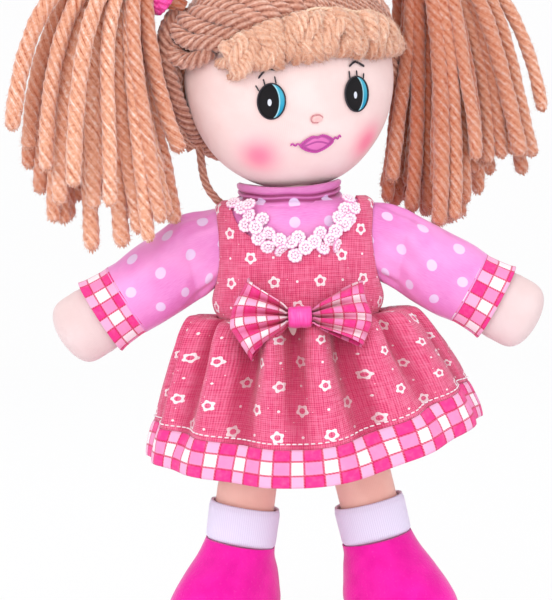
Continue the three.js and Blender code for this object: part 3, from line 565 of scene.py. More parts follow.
def satin(name, base, deep):
    """Smooth woven satin: a gloss with fine thread lines along one way."""
    made = Finish(name, sheen_weight=0.15, specular_ior_level=0.6)
    u, v = made.uv()
    threads = made.noise(made.point(u * 0.12, v * 2.2), 1, 3)
    body = made.blend(made.smooth(threads, 0.3, 0.7), deep, base)
    return made.done(body, threads, 0.08, threads * 0.2 + 0.25)


def dotted_satin(name):
    """Shiny orchid pink satin with pale round dots in staggered rows."""
    dot_radius, edge = 2.75, 0.3
    made = Finish(name, sheen_weight=0.2, specular_ior_level=0.6)
    _, _, x, y = made.staggered(17.5, 15.5)
    u, v = made.uv()
    threads = made.noise(made.point(u * 0.25, v * 2.4), 1, 3)
    drift = made.noise(made.place(), 35, 2)
    body = made.blend(made.smooth(drift, 0.3, 0.7), colour(222, 112, 192), colour(242, 148, 214))
    body = made.blend(made.smooth(threads, 0.3, 0.7) * 0.3, body, colour(250, 172, 228))
    # Painted shade where the shade attribute says: the collar's creases and its upper band.
    body = made.blend(made.attribute("shade") * 0.95, body, colour(142, 22, 92))
    dots = 1 - made.smooth(made.distance(x, y), dot_radius - edge, dot_radius + edge)
    body = made.blend(dots * 0.8, body, colour(232, 214, 244))
    return made.done(body, threads, 0.06, threads * 0.15 + 0.32 + dots * 0.2)


def linen_print(name):
    """Coral pink linen with a woven grid, small white open flowers and dots between them."""
    cell, row_height, thread_width = 23, 12.4, 0.95
    petals, flower_radius, petal_depth, hole_radius, dot_radius = 5, 2.75, 0.42, 1.4, 0.65
    made = Finish(name, roughness=0.9, sheen_weight=0.3, sheen_roughness=0.5, specular_ior_level=0.2)
    u, v = made.uv()
    column, row, x, y = made.staggered(cell, row_height)
    turn = made.chance(made.maths("FLOOR", column), row) * TURN
    away = made.distance(x, y)
    edge = made.maths("COSINE", (made.maths("ARCTAN2", y, x) + turn) * petals) * petal_depth + flower_radius
    flower = (away < edge) * (away > hole_radius)
    dot = made.distance(((column + 0.5) % 1 - 0.5) * cell, y) < dot_radius
    specks = made.node("ShaderNodeTexVoronoi", {}, {"Vector": made.point(u / 5.2, v / 5.2), "Scale": 1.0},
                       output="Distance")
    speck = (specks < 0.055) * 0.8
    weave = made.weave(u, v, thread_width)
    slub_across = made.noise(made.point(u * 0.1, v * 1.1), 1, 2)
    slub_along = made.noise(made.point(u * 1.1, v * 0.1), 1, 2)
    slubs = made.smooth(slub_across + slub_along, 0.8, 1.25)
    body = made.blend(made.smooth(weave, 0.15, 0.9), colour(204, 46, 96), colour(240, 102, 144))
    body = made.blend(slubs * 0.4, body, colour(250, 150, 182))
    white = made.capped(flower + dot + speck)
    body = made.blend(white * (weave * 0.2 + 0.78), body, colour(255, 246, 248))
    # Painted shade in the skirt's fold hollows, from the shade attribute.
    body = made.blend(made.attribute("shade") * 0.6, body, colour(168, 18, 66))
    return made.done(body, weave + slubs * 0.3, 0.25)


def gingham(name, column_period, column_width, row_period, row_width, row_start):
    """Pink and white checked cotton with thin crimson threads along the checks' edges."""
    made = Finish(name, roughness=0.75, sheen_weight=0.2, specular_ior_level=0.3)
    u, v = made.uv()

    def stripe(value, period, width):
        phase = (value / period % 1) * period
        ends = (phase < CHECK_THREAD) + (phase > period - CHECK_THREAD)
        lines = ends + (abs(phase - width) < CHECK_THREAD)
        return phase < width, made.capped(lines)

    column, column_line = stripe(u, column_period, column_width)
    row, row_line = stripe(v + row_start, row_period, row_width)
    plain = made.blend(column, colour(255, 240, 246), colour(247, 142, 194))
    crossed = made.blend(column, colour(250, 176, 214), colour(242, 48, 140))
    body = made.blend(row, plain, crossed)
    beads = made.waves(u + v, 1.3)
    thread_lines = made.capped(column_line + row_line) * (beads * 0.4 + 0.6)
    body = made.blend(thread_lines, body, colour(206, 12, 74))
    drift = made.noise(made.point(u * 0.4, v * 0.4), 1, 3)
    body = made.blend(made.smooth(drift, 0.4, 0.8) * 0.08, body, colour(255, 226, 240))
    # Painted shade from the shade attribute: the bow's pleat valleys, its middle and its back.
    body = made.blend(made.attribute("shade") * 0.85, body, colour(190, 12, 80))
    return made.done(body, made.weave(u, v, 0.5), 0.1)


def crochet(name):
    """White cotton crochet thread with painted pink shade on its underside and between its loops."""
    made = Finish(name, roughness=0.85, sheen_weight=0.2, specular_ior_level=0.3)
    ridge = made.attribute("ridge")
    body = made.blend(made.smooth(ridge, 0.05, 0.75), colour(232, 150, 196), colour(255, 242, 250))
    fibres = made.noise(made.place(), 1500, 3)
    return made.done(body, ridge * 0.7 + fibres * 0.3, 0.25)


def rib_knit(name):
    """Fine white rib knit."""
    made = Finish(name, roughness=0.9, sheen_weight=0.3, specular_ior_level=0.2)
    u, v = made.uv()
    ribs, rows = made.waves(u, 1.1), made.waves(v, 0.9)
    body = made.blend(made.smooth(ribs, 0, 0.6), colour(224, 216, 240), colour(232, 226, 246))
    return made.done(body, ribs * 0.7 + rows * 0.3, 0.05)


def felt(name):
    """Hot magenta short pile felt, its fibres matted every way."""
    made = Finish(name, roughness=0.95, sheen_weight=0.5, sheen_roughness=0.4, specular_ior_level=0.15)
    pile = made.noise(made.place(), 900, 5)
    clouds = made.noise(made.place(), 90, 3)
    body = made.blend(made.smooth(clouds, 0.3, 0.7), colour(234, 20, 160), colour(246, 32, 172))
    body = made.blend(made.smooth(pile, 0.55, 0.85) * 0.3, body, colour(252, 96, 200))
    return made.done(body, pile, 0.25)


def eye_stitch(name):
    """Satin stitch eye: black, with a turquoise crescent towards the doll's left and a white glint."""
    made = Finish(name, roughness=0.6, specular_ior_level=0.25)
    u, v = made.uv()
    rows = made.waves(v, 0.55)

    def inside(middle_u, middle_v, wide, high):
        """Below 1 inside an oval and above it outside."""
        across, up = u - middle_u, v - middle_v
        return across * across * (1 / wide ** 2) + up * up * (1 / high ** 2)

    iris = inside(0.5, 0, EYE_HALF_WIDTHS[-1] - 1, EYE_HALF_HEIGHT - 0.7) < 1
    pupil = inside(-1.9, 0, EYE_HALF_WIDTHS[-1] - 1.4, EYE_HALF_HEIGHT + 0.4)
    crescent = iris * (pupil > 1)
    light_edge = crescent * (pupil < 1.22)
    glint = inside(-1.1, -0.5, 0.95, 1.7) < 1
    body = made.blend(crescent, colour(9, 7, 12), colour(30, 164, 204))
    body = made.blend(crescent * made.smooth(v, -7, 5) * 0.5, body, colour(110, 216, 236))
    body = made.blend(light_edge, body, colour(168, 226, 240))
    body = made.blend(glint, body, colour(236, 240, 252))
    body = made.blend((1 - rows) * 0.25, body, colour(10, 8, 14))
    return made.done(body, rows, 0.12)


def lip_stitch(name):
    """Satin stitch lips: magenta edges and parting line, lighter pink between."""
    made = Finish(name, roughness=0.5, specular_ior_level=0.4)
    u, v = made.uv()
    rows = made.waves(u + v * 0.4, 0.6)
    parting = abs(v - made.maths("COSINE", u * 0.36) * 0.9 + 0.2) < 0.45
    edge = made.capped(made.smooth(made.attribute("rim"), 0.62, 0.8) + parting)
    body = made.blend(edge, colour(232, 112, 190), colour(178, 48, 146))
    body = made.blend(rows * 0.3, body, colour(246, 160, 214))
    return made.done(body, rows, 0.15)


def thread(name, base, light):
    """A single shiny embroidery thread, with a painted highlight on the backs of its plies."""
    made = Finish(name, roughness=0.5, specular_ior_level=0.4)
    groove = made.attribute("groove")
    return made.done(made.blend(groove * 0.6, base, light), groove, 0.1)


SKIN = jersey("skin_jersey", colour(242, 216, 212), colour(235, 203, 199))
LIMB_SKIN = jersey("limb_jersey", colour(230, 207, 206), colour(222, 194, 192))
LEG_SKIN = jersey("leg_jersey", colour(248, 198, 182), colour(238, 180, 164))
# A wool's first colour is painted shade and its last is painted highlight.
YARN = plied_yarn("hair_wool", colour(166, 66, 28), colour(230, 167, 136), colour(255, 238, 228), 0.26)
# The cap's yarn is the hair's yarn coloured darker, as painted shade, with stronger painted shade between
# its plies.
CAP_YARN = plied_yarn("cap_wool", colour(124, 66, 50), colour(206, 146, 124), colour(248, 208, 190), 0.42)
FRINGE_YARN = plied_yarn("fringe_wool", colour(170, 98, 64), colour(228, 174, 146),
                         colour(255, 232, 208), 0.25)
# The backing is coloured as yarn in deep shade: painted shade in the gaps between the cap's yarns.
CAP_BACKING = plied_yarn("hair_backing", colour(126, 70, 48), colour(160, 98, 70),
                         colour(190, 130, 98), 0.3)
HOT_SATIN = satin("hot_pink_satin", colour(250, 84, 178), colour(234, 36, 146))
DOTTED_SATIN = dotted_satin("dotted_orchid_satin")
LINEN = linen_print("flower_print_linen")
GINGHAM = gingham("gingham_band", *BAND_CHECKS)
CUFF_GINGHAMS = {side: gingham(f"gingham_cuff_{SIDE_WORDS[side]}", *CUFF_CHECKS[side]) for side in SIDES}
BOW_GINGHAM = gingham("gingham_bow", *BOW_CHECKS)
CROCHET = crochet("crochet_cotton")
KNIT = rib_knit("rib_knit")
FELT = felt("magenta_felt")
EYE_STITCH = eye_stitch("eye_satin_stitch")
LIP_STITCH = lip_stitch("lip_satin_stitch")
BLACK_THREAD = thread("black_thread", colour(22, 18, 24), colour(70, 64, 78))
NOSE_THREAD = thread("nose_thread", colour(204, 122, 130), colour(232, 170, 172))
NOSE_FILLING = thread("nose_filling", colour(230, 176, 174), colour(246, 208, 204))
LIP_THREAD = thread("lip_thread", colour(178, 48, 146), colour(226, 110, 190))
SEAM_THREAD = thread("hair_seam_thread", colour(228, 188, 158), colour(252, 230, 208))
WHITE_THREAD = thread("white_thread", colour(244, 228, 234), colour(255, 250, 252))


# Number helpers

def mix(low, high, share):
    return low + (high - low) * share


def table_at(table, share):
    return np.interp(share, np.linspace(0, 1, len(table)), table)


def smooth_at(places, values, where):
    """Values along a table of places, joined by smooth curves."""
    places, values = np.asarray(places, float), np.asarray(values, float)
    slopes = np.gradient(values, places)
    k = np.clip(np.searchsorted(places, where) - 1, 0, len(places) - 2)
    span = places[k + 1] - places[k]
    t = np.clip((where - places[k]) / span, 0, 1)
    rise = values[k + 1] - values[k]
    return values[k] + t * t * (3 - 2 * t) * rise + span * t * (1 - t) * (
        (1 - t) * slopes[k] - t * slopes[k + 1])


def bump_at(value, middle, reach):
    return np.exp(-((value - middle) / reach) ** 2)


def unevenness(points, size, seed, waves=8):
    """A gentle repeatable unevenness, about -1 to 1, with swells of about the given size."""
    maker = np.random.default_rng(seed)
    total = np.zeros(points.shape[:-1])
    for _ in range(waves):
        way = maker.normal(size=3)
        way *= TURN / (np.linalg.norm(way) * size * maker.uniform(0.7, 1.6))
        total += np.sin(points @ way + maker.uniform(0, TURN))
    return total / math.sqrt(waves)


def oval(angle, half_width, half_depth, power=2.0):
    c, s = np.cos(angle), np.sin(angle)
    return (half_width * np.sign(c) * np.abs(c) ** (2 / power),
            half_depth * np.sign(s) * np.abs(s) ** (2 / power))


def around(count):
    return np.arange(count) * TURN / count


def outward(angle):
    """Level directions at angles round the doll, from +X."""
    return stacked(np.cos(angle), np.sin(angle), 0 * angle)


def unit(vectors):
    return vectors / np.linalg.norm(vectors, axis=-1, keepdims=True)


def stacked(*parts):
    return np.stack(np.broadcast_arrays(*parts), axis=-1)


def turned(points, matrix):
    return points @ matrix[:3, :3].T + matrix[:3, 3]


def matrix_of(*steps):
    whole = Matrix.Identity(4)
    for step in steps:
        whole = whole @ step
    return np.array(whole)


HEAD_FRAME = matrix_of(Matrix.Translation((0, 0, NECK_PIVOT)), Matrix.Rotation(HEAD_TURN, 4, "Z"),
                       Matrix.Rotation(HEAD_TILT, 4, "Y"),
                       Matrix.Translation((HEAD_CENTRE_X, 0, HEAD_CENTRE_RISE)))


# Mesh helpers

def placed(name, data):
    """An object for a mesh, a lamp or the camera, in the scene."""
    thing = bpy.data.objects.new(name, data)
    scene.collection.objects.link(thing)
    return thing


def new_mesh(name, points, edges=(), faces=()):
    """A smooth mesh from points in mm."""
    mesh = bpy.data.meshes.new(name)
    mesh.from_pydata((np.asarray(points) * MM).tolist(), edges, faces, shade_flat=False)
    return mesh


def new_piece(name, points, faces, corners, material):
    """A piece from points in mm, with UV in mm for each face corner."""
    mesh = new_mesh(name, points, (), faces)
    layer = mesh.uv_layers.new(name="UVMap")
    layer.data.foreach_set("uv", np.asarray(corners, np.float32).ravel())
    mesh.materials.append(material)
    return placed(name, mesh)


def facing_out(piece, merged=False):
    """Turns all faces outwards, after joining points that coincide where that is asked for."""
    edit = bmesh.new()
    edit.from_mesh(piece.data)
    if merged:
        bmesh.ops.remove_doubles(edit, verts=edit.verts, dist=MERGE_DISTANCE * MM)
    bmesh.ops.recalc_face_normals(edit, faces=edit.faces)
    edit.to_mesh(piece.data)
    edit.free()
    return piece


def lofted(name, grid, material, uv=None, looped=True, capped=False):
    """A surface over rows of points. Each row closes on itself where looped."""
    rows, columns = grid.shape[:2]
    spans = columns if looped else columns - 1
    r, c = (part.ravel() for part in np.meshgrid(np.arange(rows - 1), np.arange(spans), indexing="ij"))
    steps = ((0, 0), (0, 1), (1, 1), (1, 0))
    faces = np.stack([(r + down) * columns + (c + on) % columns for down, on in steps], 1).tolist()
    if uv is None:
        uv = np.zeros((rows, spans + 1, 2))
    corners = np.stack([uv[r + down, c + on] for down, on in steps], 1).reshape(-1, 2)
    points = grid.reshape(-1, 3)
    for row in (0, rows - 1) if capped else ():
        hub, first = len(points), row * columns
        points = np.vstack([points, grid[row].mean(0)])
        faces += [[hub, first + k, first + (k + 1) % columns] for k in range(columns)]
        middle = uv[row].mean(0)
        corners = np.vstack([corners] + [[middle, uv[row, k], uv[row, k + 1]] for k in range(columns)])
    return facing_out(new_piece(name, points, faces, corners, material))


def settled(piece):
    """Turns the piece with its modifiers into a plain mesh."""
    graph = bpy.context.evaluated_depsgraph_get()
    graph.update()
    mesh = bpy.data.meshes.new_from_object(piece.evaluated_get(graph), preserve_all_data_layers=True,
                                           depsgraph=graph)
    old = piece.data
    piece.modifiers.clear()
    piece.data = mesh
    bpy.data.meshes.remove(old)
    return piece


def walled(piece, wall):
    """Gives cloth its thickness, inwards from the surface that was drawn."""
    modifier = piece.modifiers.new("wall", "SOLIDIFY")
    modifier.thickness = wall * MM
    modifier.offset = -1
    return settled(piece)


def cut_away(piece, *tools):
    for tool in tools:
        modifier = piece.modifiers.new("cut", "BOOLEAN")
        modifier.operation = "DIFFERENCE"
        modifier.solver = "EXACT"
        modifier.object = tool
    settled(piece)
    for tool in tools:
        bpy.data.objects.remove(tool)
    return piece


def joined(name, pieces):
    """One piece from several that ride together."""
    with bpy.context.temp_override(active_object=pieces[0], selected_editable_objects=pieces):
        bpy.ops.object.join()
    pieces[0].name = name
    return pieces[0]


def with_attribute(piece, name, values, kind="FLOAT"):
    """Gives each point of the piece its value, or all of them the same one."""
    layer = piece.data.attributes.new(name, kind, "POINT")
    values = np.asarray(values, np.float32).ravel()
    if values.size == 1:
        values = np.repeat(values, len(layer.data))
    layer.data.foreach_set("vector" if kind == "FLOAT_VECTOR" else "value", values)
    return piece


def handed(piece, body, slot, *nodes):
    """The piece rides on a body and stands for its CAD nodes, which it hides. The slot is not used."""
    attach(piece, body)
    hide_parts(*nodes)
    return piece


def closed(grid):
    """Rows of points with each row's first point repeated at its end."""
    return np.concatenate([grid, grid[..., :1, :]], axis=-2)


def lengths(route):
    """Distance along a route from its start to each of its points, in mm."""
    steps = np.linalg.norm(np.diff(route, axis=0), axis=-1)
    return np.concatenate([[0], np.cumsum(steps)])


def measured_uv(grid, looped=True):
    """UV in mm along and across a grid, measured on its middle row and a quarter of the way round."""
    rows, columns = grid.shape[:2]
    across = lengths((closed(grid) if looped else grid)[rows // 2])
    return stacked(across[None, :], lengths(grid[:, columns // 4])[:, None])


def tube(points, radius, sides):
    """Rings round a route, in a grid for lofted."""
    points = np.asarray(points, float)
    along = unit(np.gradient(points, axis=0))
    across = unit(np.cross(along, np.array([0.31, -0.9, 0.3])))
    over = np.cross(along, across)
    angle = around(sides)[None, :, None]
    ring = np.cos(angle) * across[:, None] + np.sin(angle) * over[:, None]
    return points[:, None] + np.broadcast_to(radius, len(points))[:, None, None] * ring


def bezier(controls, count):
    """Points on the smooth curve of any number of control points."""
    controls = np.asarray(controls, float)
    t = np.linspace(0, 1, count)[:, None]
    last = len(controls) - 1
    return sum(math.comb(last, k) * t ** k * (1 - t) ** (last - k) * controls[k]
               for k in range(last + 1))


def evenly(points, step):
    """The same route with points an even step apart."""
    reach = lengths(points)
    count = max(int(reach[-1] / step), 3)
    where = np.linspace(0, reach[-1], count + 1)
    return np.stack([np.interp(where, reach, points[:, k]) for k in range(3)], axis=1)


# Geometry trees: yarn along routes, its loose fibres, and copies of a shape on points

class ShapeTree(Graph):
    """A geometry tree with named inputs, run on a piece by a modifier that is then applied."""

    def __init__(self, name, **kinds):
        super().__init__(bpy.data.node_groups.new(name, "GeometryNodeTree"))
        sides = self.tree.interface
        self.keys = {}
        for key, kind in {"Geometry": "Geometry", **kinds, "Material": "Material"}.items():
            socket = sides.new_socket(key, in_out="INPUT", socket_type=f"NodeSocket{kind}")
            self.keys[key] = socket.identifier
        sides.new_socket("Geometry", in_out="OUTPUT", socket_type="NodeSocketGeometry")
        outputs = self.tree.nodes.new("NodeGroupInput").outputs
        self.given = {key: Socket(self, outputs[key]) for key in self.keys}

    def named(self, name, kind="FLOAT"):
        """A value that the points carry."""
        return self.node("GeometryNodeInputNamedAttribute", {"data_type": kind}, {"Name": name})

    def stored(self, shape, name, value, kind="FLOAT"):
        return self.node("GeometryNodeStoreNamedAttribute", {"data_type": kind, "domain": "POINT"},
                         {"Geometry": shape, "Name": name, "Value": value})

    def copies(self, pattern, points, turn, size=(1, 1, 1)):
        """A copy of a pattern on each point."""
        shape = self.node("GeometryNodeObjectInfo", {}, {"Object": pattern}, output="Geometry")
        return self.node("GeometryNodeInstanceOnPoints", {},
                         {"Points": points, "Instance": shape, "Rotation": turn, "Scale": size})

    def finished(self, shape):
        shape = self.node("GeometryNodeRealizeInstances", {}, {"Geometry": shape})
        shape = self.node("GeometryNodeSetMaterial", {},
                          {"Geometry": shape, "Material": self.given["Material"]})
        self.tree.links.new(shape.output, self.tree.nodes.new("NodeGroupOutput").inputs[0])
        return self

    def run_on(self, piece, **values):
        modifier = piece.modifiers.new(self.tree.name, "NODES")
        modifier.node_group = self.tree
        for key, value in values.items():
            modifier[self.keys[key]] = value
        return settled(piece)


def yarn_tree():
    """Routes, as edges with a thickness at each point, become twisted yarns with narrow valleys."""
    tree = ShapeTree("plied_yarn", Radius="Float", Pitch="Float", Depth="Float", Plies="Int")
    given = tree.given
    points_per_ply = 4
    circle = tree.node("GeometryNodeCurvePrimitiveCircle", {},
                       {"Resolution": given["Plies"] * points_per_ply, "Radius": 1.0})
    ridge = tree.maths("COSINE", tree.node("GeometryNodeInputIndex") * (TURN / points_per_ply))
    place = tree.node("GeometryNodeInputPosition")
    grown = tree.node("ShaderNodeVectorMath", {"operation": "SCALE"},
                      {0: place, "Scale": 1 - ridge * given["Depth"]})
    profile = tree.node("GeometryNodeSetPosition", {}, {"Geometry": circle, "Position": grown})
    profile = tree.stored(profile, "groove", ridge * -0.5 + 0.5)
    profile = tree.stored(profile, "spin", place, "FLOAT_VECTOR")

    routes = tree.node("GeometryNodeMeshToCurve", {}, {0: given["Geometry"]})
    length = tree.node("GeometryNodeSplineParameter", output="Length")
    routes = tree.node("GeometryNodeSetCurveTilt", {},
                       {"Curve": routes, "Tilt": length / given["Pitch"] * -TURN})
    routes = tree.stored(routes, "along", length)
    mesh = tree.node("GeometryNodeCurveToMesh", {},
                     {"Curve": routes, "Profile Curve": profile,
                      "Scale": tree.named("thickness") * given["Radius"], "Fill Caps": True})
    return tree.finished(tree.node("GeometryNodeSetShadeSmooth", {}, {"Geometry": mesh}))


YARN_TREE = yarn_tree()


def yarns(name, routes, radius, material, pitch=YARN_PITCH, plies=YARN_PLIES, ply_depth=PLY_DEPTH_SHARE,
          end_fluff=0):
    """One piece of plied yarns. A route is its points, its thickness shares and its tone, which is painted
    shade with some random variation.
    """
    edges, start = [], 0
    for points, _, _ in routes:
        edges += [(start + k, start + k + 1) for k in range(len(points) - 1)]
        start += len(points)
    piece = placed(name, new_mesh(name, np.vstack([points for points, _, _ in routes]), edges))
    with_attribute(piece, "thickness", np.concatenate([thickness for _, thickness, _ in routes]))
    with_attribute(piece, "tone", np.concatenate(
        [np.broadcast_to(tone, len(points)) for points, _, tone in routes]))
    with_attribute(piece, "fluff", np.concatenate(
        [1 + end_fluff * np.linspace(0, 1, len(points)) ** FLUFF_POWER for points, _, _ in routes]))
    return YARN_TREE.run_on(piece, Radius=radius * MM, Pitch=pitch * MM, Plies=plies, Depth=ply_depth,
                            Material=material)


def fuzz_tree():
    """Adds short straight hairs, leaning every way, all over a mesh."""
    tree = ShapeTree("fuzz", Hair="Object", Density="Float")
    yarn = tree.given["Geometry"]
    spots = tree.node("GeometryNodeDistributePointsOnFaces", {"distribute_method": "RANDOM"},
                      {"Mesh": yarn, "Density": tree.given["Density"] * tree.named("fluff"), "Seed": 5})
    facing = Socket(tree, spots.output.node.outputs["Rotation"])
    lean = tree.node("FunctionNodeRandomValue", {"data_type": "FLOAT_VECTOR"},
                     {0: (-FIBRE_LEAN, -FIBRE_LEAN, 0), 1: (FIBRE_LEAN, FIBRE_LEAN, TURN), "Seed": 6})
    turn = tree.node("FunctionNodeRotateRotation", {"rotation_space": "LOCAL"},
                     {"Rotation": facing, "Rotate By": lean})
    size = tree.node("FunctionNodeRandomValue", {"data_type": "FLOAT"},
                     {2: 0.5, 3: 1.4, "Seed": 7}, output=1)
    hairs = tree.node("GeometryNodeRealizeInstances", {},
                      {"Geometry": tree.copies(tree.given["Hair"], spots, turn, size)})
    both = tree.node("GeometryNodeJoinGeometry", {}, {0: yarn})
    tree.tree.links.new(hairs.output, both.output.node.inputs[0])
    return tree.finished(both)


FUZZ_TREE = fuzz_tree()


def fuzzed(piece, density, material):
    """Yarn with loose fibres standing off it, as many to a square mm as the density says."""
    route = [(0, 0, 0), (FIBRE_REACH, 0, FIBRE_LENGTH)]
    hair = lofted("loose_fibre", tube(route, FIBRE_RADIUS * np.array([1, 0.4]), 3), YARN)
    # Loose fibres get the painted highlight.
    with_attribute(hair, "groove", FIBRE_TONE)
    FUZZ_TREE.run_on(piece, Hair=hair, Density=density / MM ** 2, Material=material)
    bpy.data.objects.remove(hair)
    return piece


def thread_piece(name, routes, radius, material):
    """Thin embroidery threads along short routes."""
    made = []
    for route in routes:
        points = evenly(np.asarray(route, float), radius)
        thickness = np.ones(len(points))
        thickness[[0, -1]] = 0.5
        made.append((points, thickness, 0.0))
    return yarns(name, made, radius, material, pitch=radius * 8, plies=3, ply_depth=0.1)


def scatter_tree():
    """Puts a copy of a shape on each point, turned by the point's facing and heading."""
    tree = ShapeTree("scattered_copies", Copy="Object")
    turn = tree.node("FunctionNodeAxesToRotation", {"primary_axis": "Z", "secondary_axis": "X"},
                     {"Primary Axis": tree.named("facing", "FLOAT_VECTOR"),
                      "Secondary Axis": tree.named("heading", "FLOAT_VECTOR")})
    return tree.finished(tree.copies(tree.given["Copy"], tree.given["Geometry"], turn))


SCATTER_TREE = scatter_tree()


def scattered(name, copy, points, facing, heading, material):
    """One piece of copies of a shape, standing on points. The pattern shape is used up."""
    piece = placed(name, new_mesh(name, points))
    with_attribute(piece, "facing", facing, "FLOAT_VECTOR")
    with_attribute(piece, "heading", heading, "FLOAT_VECTOR")
    SCATTER_TREE.run_on(piece, Copy=copy, Material=material)
    bpy.data.objects.remove(copy)
    return piece


# Torso and its clothes

TORSO_BOTTOM = HIP_HEIGHT + SEAM_RADIUS + GAP
BLOUSE_GROWTH = GAP + BLOUSE_WALL
BODICE_GROWTH = BLOUSE_GROWTH + GAP + BODICE_WALL


def torso_size(z, growth):
    """Half width and half depth of the grown torso at a height."""
    ups, wides, deeps = np.array(TORSO_ROW_SHARES).T
    lift = growth * np.clip((ups - 0.9) * 10, 0, 1)
    heights = TORSO_BOTTOM + ups * (TORSO_TOP - TORSO_BOTTOM) + lift
    return (smooth_at(heights, TORSO_HALF_WIDTH * wides + growth, z),
            smooth_at(heights, TORSO_HALF_DEPTH * deeps + growth, z))


def torso_grid(growth, low, inner_share):
    """The grown torso from a height up to and over its shoulders, starting at the back."""
    top = TORSO_TOP + growth
    rounding = top - TORSO_ROUNDING * np.cos(np.linspace(0, ROUND_OVER, 9))[1:]
    heights = np.concatenate([np.linspace(low, top - TORSO_ROUNDING, 46), rounding])
    wide, deep = torso_size(heights, growth)
    rim = np.linspace(1, inner_share, 6)[1:]
    heights = np.append(heights, np.full(len(rim), top))
    wide, deep = np.append(wide, wide[-1] * rim), np.append(deep, deep[-1] * rim)
    angle = around(TORSO_COLUMNS) + TURN / 4
    x, y = oval(angle[None, :], wide[:, None], deep[:, None], TORSO_SQUARENESS)
    return stacked(x, y, heights[:, None])


def torso_uv(grid):
    """U runs across the chest in mm with 0 at the middle of the front, V is the height."""
    across = lengths(closed(grid)[CHEST_ROW])
    return stacked((across - across[-1] / 2)[None, :], grid[:, :1, 2])


def chest_y(x, z, growth):
    half_width, half_depth = torso_size(z, growth)
    room = 1 - np.minimum(np.abs(x) / half_width, 0.995) ** TORSO_SQUARENESS
    return -half_depth * room ** (1 / TORSO_SQUARENESS)


def prism_tool(outline, axis, low, high):
    """A closed prism with a flat outline, for cutting cloth."""
    rows = []
    for place in (low, high):
        u, v = np.asarray(outline).T
        rows.append(stacked(place, u, v) if axis == "x" else stacked(u, place, v))
    return lofted("tool", np.stack(rows), LINEN, capped=True)


def neckline_tool(depth, low, high):
    angle = np.linspace(0, math.pi, 41)
    arc = np.stack([-NECKLINE_HALF_WIDTH * np.cos(angle),
                    NECKLINE_TOP - depth * np.sin(angle) ** NECKLINE_POWER], axis=1)
    top = [[NECKLINE_HALF_WIDTH, NECKLINE_TOP + 30], [-NECKLINE_HALF_WIDTH, NECKLINE_TOP + 30]]
    return prism_tool(np.vstack([arc, top]), "y", low, high)


def armhole_tool(side):
    y, z = oval(around(48), ARMHOLE_HALF_DEPTH, ARMHOLE_HALF_HEIGHT)
    outline = np.stack([y, z + SHOULDER_HEIGHT], axis=1)
    ends = sorted((side * (TORSO_HALF_WIDTH - 2 * BODICE_GROWTH), side * (TORSO_HALF_WIDTH + 30)))
    return prism_tool(outline, "x", *ends)


def make_torso():
    grid = torso_grid(0, TORSO_BOTTOM, 0.3)
    body = lofted("stuffed_torso", grid, SKIN, torso_uv(grid), capped=True)
    handed(body, "torso", "skin_cloth", "torso")


def make_blouse():
    grid = torso_grid(BLOUSE_GROWTH, WAIST_HEIGHT + GAP, 0.42)
    grid[..., 1] -= 0.25 * unevenness(grid, 16, 3) * (grid[..., 1] < 0)
    blouse = walled(lofted("blouse_front", grid, DOTTED_SATIN, torso_uv(grid)), SATIN_WALL)
    handed(blouse, "torso", "dotted_satin", "blouse")


def make_collar():
    """A folded satin band: creases that droop at the front, a rolled upper edge and a wide foot."""
    angle = around(160)
    up = np.linspace(0, 1, 64)[:, None]
    top = COLLAR_TOP - 0.6 - COLLAR_DIP * np.abs(np.sin(angle)) ** 1.5
    height = mix(COLLAR_TOP - COLLAR_HEIGHT, top, up)
    droop = np.clip(-np.sin(angle), 0, 1) ** 0.8
    drift = 0.35 * np.sin(3 * angle + 0.5) + 0.25 * np.sin(7 * angle)
    valley = 0
    for crease, drop, half_width in COLLAR_CREASES:
        away = (height - crease + drop * droop - drift) / half_width
        valley = np.maximum(valley, np.exp(-away ** 2))
    roll = np.clip((up - 0.94) / 0.06, 0, 1) ** 2 * 1.2
    foot = COLLAR_FOOT_SPREAD * np.clip((TORSO_TOP + 5 - height) / 10, 0, 1) ** 1.3
    swell = foot - valley * COLLAR_FOLD_DEPTH - roll
    x, y = oval(angle, COLLAR_HALF_WIDTH, COLLAR_HALF_DEPTH)
    shrink = 1 + swell / COLLAR_HALF_DEPTH
    grid = stacked(COLLAR_LEAN_X + x * shrink, y * shrink, height + 0 * angle)
    collar = lofted("mock_collar", grid, DOTTED_SATIN, measured_uv(grid))
    # Painted shade: dark in the creases, and a little over the band above the lower crease.
    lower_crease, lower_drop, _ = COLLAR_CREASES[1]
    upper = np.clip((height - lower_crease + lower_drop * droop) / 2, 0, 1)
    collar = walled(with_attribute(collar, "shade", np.maximum(valley, 0.3 * upper)), COLLAR_WALL)
    handed(collar, "torso", "dotted_satin", "collar")


def make_bodice():
    grid = torso_grid(BODICE_GROWTH, WAIST_HEIGHT, 0.5)
    grid[..., 1] -= 0.3 * unevenness(grid, 22, 5) * (grid[..., 1] < 0)
    sides = (np.abs(grid[..., 0]) / TORSO_HALF_WIDTH) ** 4
    grid[..., 0] += np.sign(grid[..., 0]) * sides * (1.3 * bump_at(grid[..., 2], 170, 6)
                                                     - 1.2 * bump_at(grid[..., 2], WAIST_HEIGHT, 2.5))
    bodice = walled(lofted("linen_bodice", grid, LINEN, torso_uv(grid)), BODICE_WALL)
    cut_away(bodice, neckline_tool(NECKLINE_FRONT_DEPTH, -60, 0.5),
             neckline_tool(NECKLINE_BACK_DEPTH, 0, 60), *(armhole_tool(side) for side in SIDES))
    handed(bodice, "torso", "dress_linen", "dress_bodice")


def skirt_fold(azimuth, along, degrees, width, depth, end):
    """How far one hanging fold lies back, with its shoulders standing out."""
    turn = (azimuth - math.radians(degrees) + math.pi) % TURN - math.pi
    away = turn / math.radians(width)
    run = np.sin(np.clip(along / end, 0, 1) ** 0.6 * math.pi) ** 0.8
    return depth * run * (0.5 * np.exp(-(np.abs(away) - 1.7) ** 2) - np.exp(-away ** 2))


